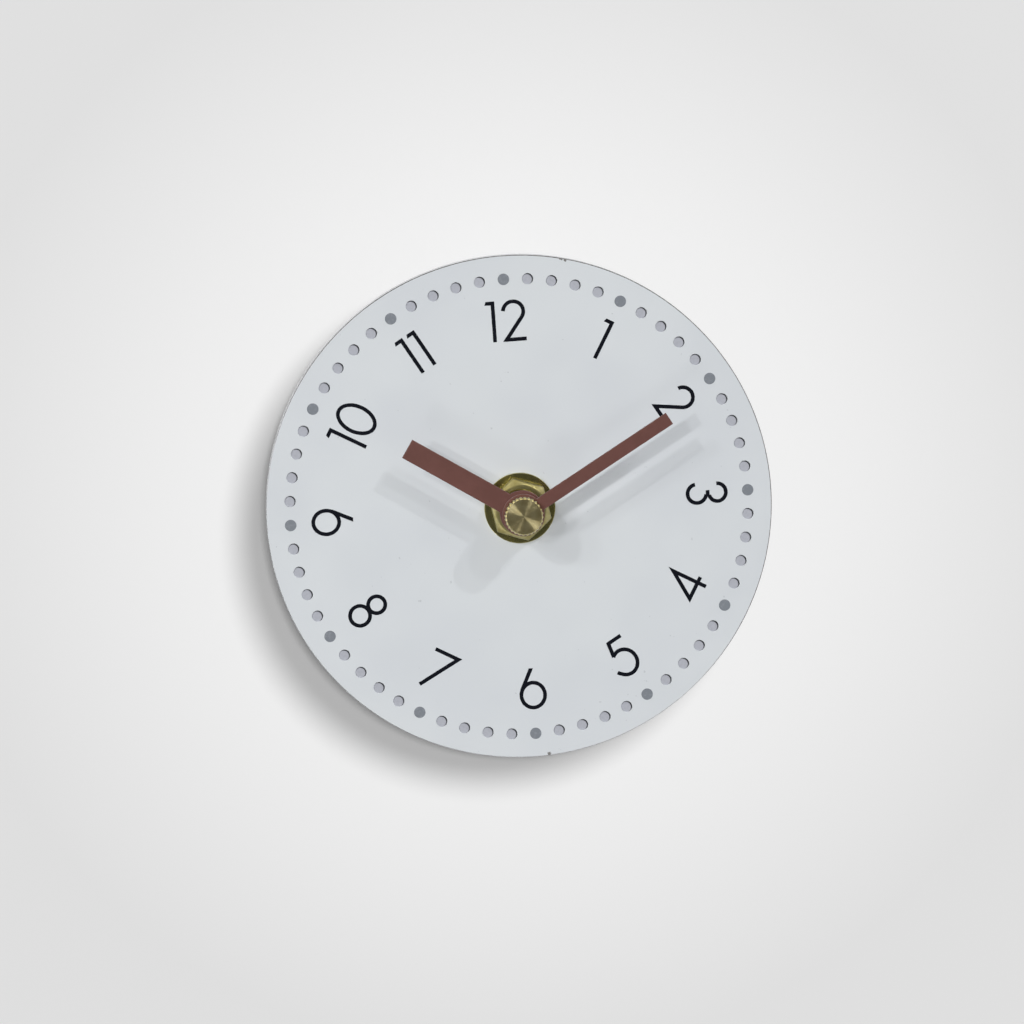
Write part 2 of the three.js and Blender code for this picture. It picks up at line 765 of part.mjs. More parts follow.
function thirdWheel() {
  const wheel = join(
    arbor(rearPivot, frontPivot, frontPivot - pivotDepth),
    gear({
      teeth: thirdTeeth, module: thirdModule, tooth: wheelTooth, phase: thirdPhase,
      low: thirdLevel, high: thirdLevel + wheelThickness,
    }),
    gear({
      teeth: thirdPinionTeeth, module: thirdPinionModule, tooth: pinionTooth, phase: 0,
      low: centreLevel - pinionOverlap, high: centreLevel + wheelThickness + pinionOverlap,
    }),
  );
  piece('third_wheel', gearPlastic, wheel, thirdAt);
}

function secondWheel() {
  const wheel = join(
    arbor(rearPivot, secondLevel + sink, secondLevel + sink),
    rod(secondArborDiameter, secondLevel, frontInside - secondArborReach, centreAt, 10),
    gear({
      teeth: secondTeeth, module: runningModule, tooth: wheelTooth, phase: 0,
      low: secondLevel, high: secondLevel + wheelThickness,
    }),
    gear({
      teeth: secondPinionTeeth, module: thirdModule, tooth: pinionTooth, phase: 0,
      low: secondLevel, high: thirdLevel + wheelThickness + pinionOverlap,
    }),
  );
  piece('second_wheel', gearPlastic, wheel);
}

function intermediateWheel() {
  const wheel = join(
    arbor(rearPivot, plateFront - pivotInset, plateLevel - seatGap),
    gear({
      teeth: intermediateTeeth, module: runningModule, tooth: wheelTooth, phase: 0,
      low: intermediateLevel, high: intermediateLevel + wheelThickness,
    }),
    gear({
      teeth: intermediatePinionTeeth, module: runningModule, tooth: pinionTooth,
      phase: intermediatePinionPhase,
      low: intermediateLevel, high: secondLevel + wheelThickness + pinionOverlap,
    }),
  );
  piece('intermediate_wheel', gearPlastic, wheel, intermediateAt);
}

function rotor() {
  const magnetLow = intermediateLevel + wheelThickness + magnetRise;
  const magnetHigh = plateLevel - rotorGap;
  const pinionHigh = magnetLow - rotorPinionGap;
  const pinion = join(
    arbor(rearPivot, plateFront - pivotInset, plateLevel - seatGap),
    rod(magnetBore - 2 * fitGap, pinionHigh - sink, magnetHigh, centreAt, 14),
    gear({
      teeth: rotorTeeth, module: runningModule, tooth: pinionTooth, phase: rotorPhase,
      low: intermediateLevel - pinionOverlap, high: pinionHigh,
    }),
  );
  piece('rotor_pinion', gearPlastic, pinion, rotorAt);
  const ring = rod(magnetDiameter, magnetLow, magnetHigh);
  const bore = rod(magnetBore, 0, caseFront, centreAt, 14);
  piece('rotor_magnet', magnetGrey, cut(ring, bore), rotorAt);
}

// ---------------------------------------------------------------- motor

function motorPinHoles() {
  return motorPins.map((at) => rod(motorPinDiameter + 2 * fitGap, 0, caseFront, at, 12));
}

function stator() {
  const armLow = rotorAt[1];
  const tabTop = coilAt[0] + statorArm / 2;
  const arm = block([statorLeft, armLow, statorBack], [statorRight, armLow + statorArm, statorFront]);
  const tabs = motorPins.map(([x]) => (
    block([x - statorArm / 2, armLow, statorBack], [x + statorArm / 2, tabTop, statorFront])));
  const eye = rod(magnetDiameter + 2 * (rotorGap + statorWall), statorBack, statorFront, rotorAt);
  const bore = rod(magnetDiameter + 2 * rotorGap, 0, caseFront, rotorAt);
  piece('stator', steel, cut(join(arm, ...tabs, eye), bore, ...motorPinHoles()));
}

function coil() {
  const [y, z] = coilAt;
  const left = statorLeft + statorArm + coilEndGap;
  const right = statorRight - statorArm - coilEndGap;
  const low = y - coreHeight / 2;
  const high = y + coreHeight / 2;
  const strip = block([statorLeft, low, coreBack], [statorRight, high, coreFront]);
  piece('coil_core', steel, cut(strip, ...motorPinHoles()));

  const window = block(
    [left - past, low - fitGap, coreBack - fitGap], [right + past, high + fitGap, coreFront + fitGap]);
  const bobbin = join(
    bar(windingBore - 2 * fitGap, left, right, coilAt),
    bar(coilDiameter, left, left + bobbinFlange, coilAt),
    bar(coilDiameter, right - bobbinFlange, right, coilAt),
  );
  piece('coil_bobbin', blackPlastic, cut(bobbin, window));

  const woundLeft = left + bobbinFlange + seatGap;
  const woundRight = right - bobbinFlange - seatGap;
  const winding = bar(windingDiameter, woundLeft, woundRight, coilAt);
  piece('coil_winding', copper, cut(winding, bar(windingBore, left, right, coilAt)));
}

// ---------------------------------------------------------------- case

function middlePlate() {
  const { left, right, bottom, top } = plateEdges;
  const plate = block([left, bottom, plateLevel], [right, top, plateFront]);
  const bearing = (diameter, at) => rod(diameter, plateLevel - past, plateFront + past, at, 12);
  const thirdPinion = 2 * tipRadius(thirdPinionTeeth, thirdPinionModule, pinionTooth);
  const holes = [
    bearing(secondArborDiameter + 2 * runGap, centreAt),
    bearing(thirdPinion + 2 * looseGap, thirdAt),
    bearing(pivotDiameter + 2 * runGap, intermediateAt),
    bearing(pivotDiameter + 2 * runGap, rotorAt),
    bearing(settingShaftDiameter + 2 * runGap, settingAt),
    bearing(screwShank + 2 * fitGap, screwAt),
    ...platePosts.map((at) => bearing(pegDiameter + 2 * fitGap, at)),
  ];
  piece('middle_plate', gearPlastic, cut(plate, ...holes));
}

// Posts that hang from the inside of the case's front, each with a thinner peg at its end.
function casePosts() {
  const posts = platePosts.flatMap((at) => [
    rod(postDiameter, plateFront + seatGap, frontInside + sink, at, 12),
    rod(pegDiameter, plateLevel, frontInside, at, 10),
  ]);
  const motorPosts = motorPins.flatMap((at) => [
    rod(motorPostDiameter, coreFront + seatGap, frontInside + sink, at, 12),
    rod(motorPinDiameter, statorBack, frontInside, at, 10),
  ]);
  const motionStud = [
    rod(studDiameter, motionLevel, frontInside + sink, motionAt, 10),
    rod(studDiameter + 2 * studCollar, hourWheelFront + 2 * endPlay, frontInside + sink, motionAt, 14),
  ];
  return [...posts, ...motorPosts, ...motionStud];
}

// A block on the right-hand side, or its mirror image on the left.
function sideBlock(side, [x0, x1], [y0, y1], [z0, z1]) {
  const [left, right] = [side * x0, side * x1].sort((a, b) => a - b);
  return block([left, y0, z0], [right, y1, z1]);
}

function frontCase() {
  const shell = cut(
    extruded(roundedRect(caseWidth, caseWidth, caseCorner), 0, caseFront),
    extruded(roundedRect(2 * inside, 2 * inside, caseCorner - caseWall), -past, frontInside),
  );
  const partition = block(
    [-inside - sink, partitionLow, 0], [inside + sink, partitionHigh, frontInside + sink]);
  const openings = [-1, 1].flatMap((side) => [
    sideBlock(side, [contactFace - railGap, inside], [partitionLow - past, partitionHigh + past],
      [-past, contactBand[1] + railGap]),
    ...clipHeights.map((y) => sideBlock(side, [inside - past, inside + caseWall + past],
      [y - clipWidth / 2 - clipGap, y + clipWidth / 2 + clipGap], [clipBack - clipGap, clipFront + clipGap])),
  ]);
  const holes = [
    rod(bushingDiameter + 2 * fitGap, frontInside - past, caseFront + past),
    rod(pivotDiameter + 2 * runGap, frontInside - past, frontInside + pivotDepth, thirdAt, 10),
    rod(studDiameter + 2 * runGap, frontInside - past, frontInside + pivotDepth, settingAt, 12),
  ];
  const walls = join(shell, partition, ...casePosts());
  piece('front_case', blackPlastic, cut(walls, ...openings, ...holes));
}

function rearCover() {
  const edge = inside - seatGap;
  const outline = extruded(roundedRect(2 * edge, 2 * edge, caseCorner - caseWall), 0, coverThickness);
  const above = block(
    [-caseWidth, partitionHigh + seatGap, -past], [caseWidth, caseWidth, coverThickness + past]);
  const clips = [-1, 1].flatMap((side) => clipHeights.flatMap((y) => {
    const span = [y - clipWidth / 2, y + clipWidth / 2];
    return [
      sideBlock(side, [edge - clipArm, edge], span, [coverThickness - sink, coverThickness + clipRise]),
      sideBlock(side, [edge - sink, inside + clipReach], span, [clipBack, clipFront]),
    ];
  }));
  const recess = knobDiameter + 2 * knobGap;
  const cup = rod(recess + 2 * recessWall, 0, recessDepth + recessFloor, settingAt, 32);
  const hollow = rod(recess, -past, recessDepth, settingAt, 32);
  const shaftHole = rod(settingShaftDiameter + 2 * runGap, -past, caseFront, settingAt, 14);
  const pivots = [centreAt, thirdAt, intermediateAt, rotorAt].map((at) => (
    rod(pivotDiameter + 2 * runGap, coverThickness - pivotDepth, coverThickness + past, at, 10)));
  const cover = join(common(outline, above), ...clips, cup);
  piece('rear_cover', blackPlastic, cut(cover, hollow, shaftHole, ...pivots));
}

// ---------------------------------------------------------------- electrics

function circuitBoard() {
  const board = block(
    [boardLeft, boardBottom, boardBack], [boardRight, boardBottom + boardHeight, boardFront]);
  const hole = rod(screwShank + 2 * looseGap, boardBack - past, boardFront + past, screwAt, 10);
  piece('circuit_board', boardGreen, cut(board, hole));
}

function boardScrew() {
  const [x, y] = screwAt;
  const [length, width] = screwDrive;
  const headFront = boardBack - seatGap;
  const headBack = headFront - screwHeadHeight;
  const arms = [[length, width], [width, length]].map(([w, h]) => block(
    [x - w / 2, y - h / 2, headBack - past], [x + w / 2, y + h / 2, headBack + screwDriveDepth]));
  const screw = join(
    rod(screwHead, headBack, headFront, screwAt, 16),
    rod(screwShank, headFront - sink, plateFront - pivotInset, screwAt, 8),
  );
  piece('board_screw', steel, cut(screw, ...arms));
}

// The crystal and the chip under its blob of resin, in a row above the contacts' feet.
function boardParts() {
  const face = boardBack - seatGap;
  const crystalY = footTop + boardStep + crystalLength / 2;
  const crystal = new THREE.CylinderGeometry(crystalDiameter / 2, crystalDiameter / 2, crystalLength, 16);
  crystal.translate(boardMiddle, crystalY, face - crystalDiameter / 2);
  piece('quartz_crystal', steel, crystal);

  const chipY = crystalY + crystalLength / 2 + boardStep + chipRadius;
  const dome = [[0, 1], [0.5, 0.9], [0.85, 0.5], [1, 0]];
  const profile = dome.map(([out, up]) => [out * chipRadius, -up * chipHeight]);
  const blob = turned([...profile, [0, 0]], 16);
  piece('clock_chip', blackPlastic, blob.translate(boardMiddle, chipY, face));
}

function positiveContact() {
  const [low, high] = contactBand;
  const [y, z] = cellAxis;
  piece('positive_contact', steel, join(
    block([contactFace, y - padWidth / 2, z - padDepth / 2], [contactBack, y + padWidth / 2, z + padDepth / 2]),
    block([contactFace, y, low], [contactBack, footTop, high]),
    block([boardRight - positiveFoot, footTop - footWidth, footBand[0]], [contactBack, footTop, footBand[1]]),
  ));
}

// The sprung leaf that presses on the flat end of the cell, bowed out from its pad.
function springLeaf() {
  const [y, z] = cellAxis;
  const root = -contactFace - sink;
  const end = leafSpan / 2;
  const crest = -contactFace + 2 * leafReach;
  const leaf = new THREE.Shape();
  leaf.moveTo(-contactFace, y - end);
  leaf.quadraticCurveTo(crest, y, -contactFace, y + end);
  leaf.lineTo(root, y + end - leafThickness);
  leaf.quadraticCurveTo(crest - 2 * leafThickness, y, root, y - end + leafThickness);
  leaf.closePath();
  return extruded(leaf, z - leafWidth / 2, z + leafWidth / 2, 8);
}

function negativeContact() {
  const [low, high] = contactBand;
  const [y, z] = cellAxis;
  const railLow = partitionHigh + railGap;
  const railHigh = railLow + contactThickness;
  const footLeft = boardLeft + railGap;
  const footRight = footLeft + footWidth;
  piece('negative_contact', steel, join(
    block(
      [-contactBack, y - padWidth / 2, z - padDepth / 2], [-contactFace, y + padWidth / 2, z + padDepth / 2]),
    springLeaf(),
    block([-contactBack, y, low], [-contactFace, railHigh, high]),
    block([-contactBack, railLow, low], [footRight, railHigh, high]),
    block([footLeft, railLow, footBand[0]], [footRight, footTop, footBand[1]]),
  ));
}

function cell() {
  const right = cellLeft + cellLength;
  const canLeft = cellLeft + endCapThickness + seatGap;
  const canRight = right - nubLength - endCapThickness - seatGap;
  piece('battery_can', cellJacket, bar(cellDiameter, canLeft, canRight, cellAxis, 36));
  piece('battery_positive_cap', steel, join(
    bar(cellDiameter - 2 * positiveCapInset, canRight + seatGap, right - nubLength, cellAxis),
    bar(nubDiameter, canRight + seatGap, right, cellAxis, 24),
  ));
  piece('battery_negative_cap', steel, bar(
    cellDiameter - 2 * negativeCapInset, cellLeft, cellLeft + endCapThickness, cellAxis));
}

// ---------------------------------------------------------------- assembly

frontCase();
rearCover();
middlePlate();
threadedBushing();
hangerPlate();
cushionWasher();
dialPlate();
brassWasher();
hexNut();
hourHand();
hourHandBush();
hourWheel();
motionWheel();
minuteHand();
minuteShaft();
frictionWasher();
capNut();
settingKnob();
settingPinion();
centreWheel();
thirdWheel();
secondWheel();
intermediateWheel();
rotor();
stator();
coil();
circuitBoard();
boardScrew();
boardParts();
positiveContact();
negativeContact();
cell();

clock.rotation.x = Math.PI / 2;

export default clock;
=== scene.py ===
from math import atan2, cos, hypot, pi, radians, sin, sqrt

import bmesh
import bpy
from mathutils import Matrix, Quaternion, Vector


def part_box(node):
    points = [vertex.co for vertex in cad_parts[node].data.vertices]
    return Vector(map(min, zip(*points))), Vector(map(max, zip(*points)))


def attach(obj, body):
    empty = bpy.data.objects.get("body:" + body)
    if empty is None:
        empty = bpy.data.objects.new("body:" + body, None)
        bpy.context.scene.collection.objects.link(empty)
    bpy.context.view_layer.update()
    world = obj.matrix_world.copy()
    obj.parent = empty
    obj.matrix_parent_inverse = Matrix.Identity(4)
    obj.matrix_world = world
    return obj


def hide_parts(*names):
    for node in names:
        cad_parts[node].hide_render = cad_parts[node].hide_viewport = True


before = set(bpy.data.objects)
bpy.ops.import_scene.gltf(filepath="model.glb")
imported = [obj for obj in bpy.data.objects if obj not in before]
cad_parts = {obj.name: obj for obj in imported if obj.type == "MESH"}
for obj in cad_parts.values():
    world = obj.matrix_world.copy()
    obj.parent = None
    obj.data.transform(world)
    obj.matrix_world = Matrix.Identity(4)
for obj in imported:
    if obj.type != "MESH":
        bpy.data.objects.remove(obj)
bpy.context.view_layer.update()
print("frame loaded:", len(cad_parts), "CAD nodes")

scene = bpy.context.scene
scene.view_settings.view_transform = "Standard"

# Everything is drawn in millimetres as it is seen on the dial: x to the right, y up to 12, z out of the wall.
# This turns such a mesh into the frame, in metres, with the dial facing -Y.
toFrame = Matrix(((1, 0, 0, 0), (0, 0, -1, 0), (0, 1, 0, 0), (0, 0, 0, 1))) @ Matrix.Scale(0.001, 4)


def spanOf(node):
    # The node's box in those millimetres.
    lo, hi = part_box(node)
    return {"left": lo.x * 1000, "right": hi.x * 1000, "bottom": lo.z * 1000, "top": hi.z * 1000,
            "back": -hi.y * 1000, "front": -lo.y * 1000, "radius": (hi.x - lo.x) * 500}


def metres(lengths):
    return [length / 1000 for length in lengths]


def addObject(name, data):
    made = bpy.data.objects.new(name, data)
    scene.collection.objects.link(made)
    return made


class NodeBench:
    def __init__(self, tree):
        self.tree = tree
        self.tree.nodes.clear()

    def feed(self, socket, value):
        # value is a constant, a socket, or a node, whose first output is taken.
        if isinstance(value, bpy.types.Node):
            value = value.outputs[0]
        if isinstance(value, bpy.types.NodeSocket):
            self.tree.links.new(value, socket)
        else:
            socket.default_value = value

    def add(self, kind, values=None, **settings):
        node = self.tree.nodes.new(kind)
        for key, value in settings.items():
            setattr(node, key, value)
        for key, value in (values or {}).items():
            self.feed(node.inputs[key], value)
        return node

    def math(self, operation, *values):
        return self.add("ShaderNodeMath", dict(enumerate(values)), operation=operation)

    def vector(self, operation, *values):
        return self.add("ShaderNodeVectorMath", dict(enumerate(values)), operation=operation)

    def measure(self, operation, *values):
        return self.vector(operation, *values).outputs["Value"]

    def blend(self, factor, first, second):
        return self.add("ShaderNodeMix", {"Factor": factor, 6: first, 7: second}, data_type="RGBA").outputs[2]

    def smooth(self, value, low=0.3, high=0.7, outLow=0.0, outHigh=1.0):
        return self.add("ShaderNodeMapRange", {"Value": value, "From Min": low, "From Max": high,
                                               "To Min": outLow, "To Max": outHigh},
                        interpolation_type="SMOOTHSTEP").outputs[0]

    def between(self, value, least, most):
        return self.smooth(value, outLow=least, outHigh=most)


def colour(red, green, blue):
    def linear(v):
        v /= 255
        return v / 12.92 if v <= 0.04045 else ((v + 0.055) / 1.055) ** 2.4
    return (linear(red), linear(green), linear(blue), 1.0)


def darker(tint, share):
    return (*(v * share for v in tint[:3]), 1)


class Paint(NodeBench):
    # A material with its shader, and the place on the piece that its patterns follow.
    def __init__(self, name, **sockets):
        self.material = bpy.data.materials.new(name)
        self.material.use_nodes = True
        super().__init__(self.material.node_tree)
        self.shader = self.add("ShaderNodeBsdfPrincipled")
        self.add("ShaderNodeOutputMaterial", {"Surface": self.shader})
        self.place = self.add("ShaderNodeTexCoord").outputs["Object"]
        self.finish(**sockets)

    def finish(self, **sockets):
        for key, value in sockets.items():
            self.feed(self.shader.inputs[key.replace("_", " ")], value)
        return self.material

    def scaled(self, *factors):
        return self.vector("MULTIPLY", self.place, factors)

    def fromAxis(self):
        return self.measure("LENGTH", self.scaled(1, 0, 1))

    def parts(self):
        return self.add("ShaderNodeSeparateXYZ", {0: self.place}).outputs

    def noise(self, size, detail=3.0, roughness=0.5, place=None):
        return self.add("ShaderNodeTexNoise", {"Vector": place or self.place, "Scale": 1000 / size,
                                               "Detail": detail, "Roughness": roughness}).outputs[0]

    def grooves(self, along, fineness, detail):
        # Fine lines of a cutting tool, which change in one direction only.
        return self.add("ShaderNodeTexNoise", {"W": self.math("MULTIPLY", along, fineness), "Scale": 1.0,
                                               "Detail": detail}, noise_dimensions="1D").outputs[0]

    def bump(self, height, strength, depth):
        return self.add("ShaderNodeBump", {"Height": height, "Strength": strength, "Distance": depth / 1000})


def finishMesh(mesh, name, material, body, stands=(), sharp=32):
    if sharp:
        mesh.shade_smooth()
        mesh.set_sharp_from_angle(angle=radians(sharp))
        for face in mesh.polygons:
            face.use_smooth = abs(face.normal.y) < 0.99999    # flat fronts and backs stay flat
    mesh.materials.clear()
    mesh.materials.append(material)
    piece = addObject(name, mesh)
    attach(piece, body)
    if stands:
        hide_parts(*stands)
    return piece


def toMesh(bm, name):
    mesh = bpy.data.meshes.new(name)
    bm.to_mesh(mesh)
    bm.free()
    return mesh


def weldedMesh(bm, name, place=toFrame):
    bmesh.ops.remove_doubles(bm, verts=bm.verts, dist=1e-4)
    bmesh.ops.recalc_face_normals(bm, faces=bm.faces)
    mesh = toMesh(bm, name)
    if place is not None:
        mesh.transform(place)
    return mesh


def loft(bm, rings, closed=False, caps=False):
    rows = [[bm.verts.new(p) for p in ring] for ring in rings]
    pairs = list(zip(rows, rows[1:])) + ([(rows[-1], rows[0])] if closed else [])
    for low, high in pairs:
        count = len(low)
        for i in range(count):
            j = (i + 1) % count
            bm.faces.new((low[i], low[j], high[j], high[i]))
    if caps:
        bm.faces.new(rows[0][::-1])
        bm.faces.new(rows[-1])
    return rows


def circle(radius, z, count):
    return [(radius * cos(2 * pi * i / count), radius * sin(2 * pi * i / count), z) for i in range(count)]


def rounded(points, radii, steps=3):
    # Each corner becomes a small arc, which takes no more than half of a side, or stays sharp with radius 0.
    most = 0.49
    made = []
    for i, (point, radius) in enumerate(zip(points, radii)):
        if radius == 0:
            made.append(tuple(point))
            continue
        here = Vector(point)
        before = Vector(points[i - 1]) - here
        after = Vector(points[(i + 1) % len(points)]) - here
        half = before.angle(after) / 2
        reach = min(radius / max(1e-6, abs(sin(half) / cos(half))), before.length * most, after.length * most)
        start, end = here + before.normalized() * reach, here + after.normalized() * reach
        for k in range(steps + 1):
            t = k / steps
            made.append(tuple(start * (1 - t) ** 2 + here * 2 * t * (1 - t) + end * t * t))
    return made


def turned(name, profile, count, closed=True, place=toFrame):
    # profile holds (radius, z) points. A closed one makes a ring, an open one ends on the axis.
    bm = bmesh.new()
    loft(bm, [circle(max(r, 1e-5), z, count) for r, z in profile], closed=closed, caps=not closed)
    return weldedMesh(bm, name, place)


def swung(contours, degrees):
    # Turns the contours clockwise round the hand axis.
    turn = Matrix.Rotation(-radians(degrees), 2)
    return [[tuple(turn @ Vector(p)) for p in contour] for contour in contours]


def inset(contour, distance):
    made = []
    count = len(contour)
    for i, (x, y) in enumerate(contour):
        x0, y0 = contour[i - 1]
        x1, y1 = contour[(i + 1) % count]
        a, b = hypot(x - x0, y - y0), hypot(x1 - x, y1 - y)
        n0, n1 = (-(y - y0) / a, (x - x0) / a), (-(y1 - y) / b, (x1 - x) / b)
        m = (n0[0] + n1[0], n0[1] + n1[1])
        scale = 2 * distance / max(0.3, m[0] ** 2 + m[1] ** 2)    # a sharp tip doesn't run far out
        made.append((x + m[0] * scale, y + m[1] * scale))
    return made


def slab(bm, contours, profile):
    # contours: the outline counter-clockwise and the holes clockwise. profile: (inset, z) from back to front.
    ends = ([], [])
    for contour in contours:
        rows = loft(bm, [[(*p, z) for p in inset(contour, d)] for d, z in profile])
        for end, row in zip(ends, (rows[0], rows[-1])):
            end += [bm.edges.get((row[i - 1], row[i])) for i in range(len(row))]
    for end in ends:
        bmesh.ops.triangle_fill(bm, edges=end, use_beauty=True)


def newTree(name, sockets):
    # A tree with a Geometry input and output, and one named input for each row: name, kind, default.
    tree = bpy.data.node_groups.new(name, "GeometryNodeTree")
    tree.interface.new_socket("Geometry", in_out="INPUT", socket_type="NodeSocketGeometry")
    tree.interface.new_socket("Geometry", in_out="OUTPUT", socket_type="NodeSocketGeometry")
    for label, kind, default in sockets:
        socket = tree.interface.new_socket(label, in_out="INPUT", socket_type="NodeSocket" + kind)
        if default is not None:
            socket.default_value = default
    bench = NodeBench(tree)
    return tree, bench, bench.add("NodeGroupInput").outputs


def endTree(bench, geometry, material):
    whole = bench.add("GeometryNodeRealizeInstances", {"Geometry": geometry})
    painted = bench.add("GeometryNodeSetMaterial", {"Geometry": whole, "Material": material})
    bench.add("NodeGroupOutput", {"Geometry": painted})


def grow(tree, name, values, base=None):
    # Runs the tree once on a base mesh and returns the plain mesh that it makes.
    maker = addObject(name + "Maker", base or bpy.data.meshes.new(name + "Base"))
    step = maker.modifiers.new("nodes", "NODES")
    step.node_group = tree
    sockets = {s.name: s.identifier for s in tree.interface.items_tree if s.in_out == "INPUT"}
    for key, value in values.items():
        step[sockets[key]] = value
    mesh = bpy.data.meshes.new_from_object(maker.evaluated_get(bpy.context.evaluated_depsgraph_get()))
    mesh.name = name
    bpy.data.objects.remove(maker)
    mesh.transform(toFrame)
    return mesh


def raised(bench, geometry, height):
    lift = bench.add("ShaderNodeCombineXYZ", {"Z": height})
    return bench.add("GeometryNodeTransform", {"Geometry": geometry, "Translation": lift})


def dotRing(bench, given, instance):
    # Points round the dial, every fifth one or all the others, with the instance on each.
    ring = bench.add("GeometryNodeMeshCircle", {"Vertices": given["Count"], "Radius": given["Ring Radius"]})
    left = bench.math("MODULO", bench.add("GeometryNodeInputIndex"), 5.0)
    fifth = bench.add("FunctionNodeCompare", {0: left, 1: 0.5}, operation="LESS_THAN")
    chosen = bench.add("FunctionNodeBooleanMath", {0: fifth, 1: given["Fifths"]}, operation="XNOR")
    return bench.add("GeometryNodeInstanceOnPoints", {"Points": raised(bench, ring, given["Level"]),
                                                      "Selection": chosen, "Instance": instance})


ringSockets = [("Count", "Int", 60), ("Ring Radius", "Float", 45.3), ("Level", "Float", 0.0),
               ("Fifths", "Bool", False)]


def makeDialPaint(dial):
    bench = Paint("dialPaint")
    cloud = bench.noise(24, detail=2)
    shade = bench.blend(bench.smooth(cloud, 0.35, 0.65), dial["paint"], dial["paintShade"])
    specks = bench.smooth(bench.noise(1.1, detail=2, roughness=0.6), *dial["specks"])
    shade = bench.blend(bench.math("MULTIPLY", specks, dial["speckShare"]), shade, dial["speck"])
    rim = bench.smooth(bench.fromAxis(), *metres(dial["rim"]))
    grain = bench.noise(0.6, detail=4, place=bench.scaled(1, 3, 1))
    depth = bench.math("ADD", bench.parts()[1], dialFace / 1000)
    # Painted shade: the front edge is darkened into a thin line on its upper side only, where the edge reads
    # as shaded.
    edge = bench.blend(bench.smooth(grain), dial["edge"], dial["edgeLight"])
    shadedSide = bench.smooth(bench.measure("DOT_PRODUCT", bench.place, dial["shadedSideToward"]), *metres(dial["shadedSide"]))
    arris = bench.math("MULTIPLY", shadedSide, bench.smooth(depth, dial["arris"] / 1000, dial["arris"] / 2000))
    # Painted shade: the side wall takes a grey that stands for the white paint in shade.
    shade = bench.blend(rim, shade, dial["side"])
    shade = bench.blend(bench.math("MULTIPLY", rim, arris), shade, edge)    # painted shade: a dark line along the front edge, on its upper side only
    uneven = bench.math("MULTIPLY", bench.math("SUBTRACT", grain, 0.5), dial["chipRagged"] / 1000)
    for x, y, size in dial["chips"]:
        away = bench.measure("DISTANCE", bench.place, metres((x, -dial["chipLevel"], y)))
        chip = bench.smooth(bench.math("ADD", away, uneven), size / 1000, size / 2000)
        shade = bench.blend(chip, shade, dial["chip"])
    shade = bench.blend(bench.smooth(depth, *metres(dial["backFrom"])), shade, dial["back"])
    return bench.finish(Base_Color=shade, Roughness=bench.between(bench.noise(9), *dial["gloss"]),
                        Normal=bench.bump(bench.noise(0.9), 0.12, 0.02))


def inkBump(bench):
    return bench.bump(bench.noise(0.25, detail=2), 0.15, 0.01)


def makeInk(name, ink, paper, gloss=0.5):
    # Printing ink: a flat colour that is a little thinner in places.
    bench = Paint(name, Roughness=0.5, Specular_IOR_Level=gloss)
    thin = bench.smooth(bench.noise(0.5), 0.45, 0.8, 0.0, 0.12)
    return bench.finish(Base_Color=bench.blend(thin, ink, paper), Normal=inkBump(bench))


def makeRecessInkAndShadow(dial):
    # Ink in each recess, with a painted shadow: a dark crescent on the floor's upper-right side, where the
    # rim's shadow falls. Each place is measured from the nearest place on the ring.
    bench = Paint("minuteInk", Roughness=0.5, Specular_IOR_Level=0.3)
    parts, minute = bench.parts(), radians(6)
    turn = bench.math("ARCTAN2", parts[0], parts[2])
    slot = bench.math("MULTIPLY", bench.math("ROUND", bench.math("DIVIDE", turn, minute)), minute)
    ring = dial["dotRing"] / 1000
    x, z = [bench.math("MULTIPLY", bench.math(wave, slot), ring) for wave in ("SINE", "COSINE")]
    middle = bench.add("ShaderNodeCombineXYZ", {"X": x, "Z": z})
    # Painted shadow: the floor is darkened on the side away from this offset centre, the upper right of each
    # recess.
    right, up = metres(dial["rimShadowToward"])
    flat = bench.vector("MULTIPLY_ADD", bench.place, (1, 0, 1), (right, 0, up))
    rimShadow = bench.smooth(bench.measure("DISTANCE", flat, middle), *metres(dial["rimShadowSpan"]))
    cloud = bench.smooth(bench.noise(0.5), 0.4, 0.7)
    shade = bench.blend(cloud, dial["minuteInk"], dial["minuteShade"])
    return bench.finish(Base_Color=bench.blend(rimShadow, shade, dial["minuteRimShadow"]), Normal=inkBump(bench))


def makeHandPaint(hands):
    bench = Paint("handPaint", Specular_IOR_Level=0.4)
    cloud = bench.noise(3.5, detail=4, roughness=0.6)
    fine = bench.noise(0.22, roughness=0.6)
    shade = bench.blend(bench.smooth(cloud), hands["paint"], hands["paintDark"])
    shade = bench.blend(bench.smooth(fine, 0.62, 0.8, 0, 0.3), shade, hands["paintLight"])
    return bench.finish(Base_Color=shade, Roughness=bench.between(fine, *hands["gloss"]),
                        Normal=bench.bump(fine, 0.25, 0.012))


def makeBrass(name, brass):
    # Turned brass: rings left by the tool round the hand axis, with a darker tarnish in patches.
    bench = Paint(name, Metallic=1.0)
    rings = bench.math("ADD", bench.math("MULTIPLY", bench.fromAxis(), 1000),
                       bench.math("MULTIPLY", bench.parts()[1], 700))
    line = bench.grooves(rings, fineness=14.0, detail=2.0)
    patch = bench.noise(2.6, detail=4, roughness=0.6)
    shade = bench.blend(bench.smooth(patch, 0.35, 0.7), brass["bright"], brass["deep"])
    dulled = bench.between(patch, brass["roughness"], brass["roughness"] + brass["smudge"])
    rough = bench.math("ADD", dulled, bench.math("MULTIPLY", line, 0.06))
    return bench.finish(Base_Color=shade, Roughness=rough, Normal=bench.bump(line, brass["lathe"], 0.01))


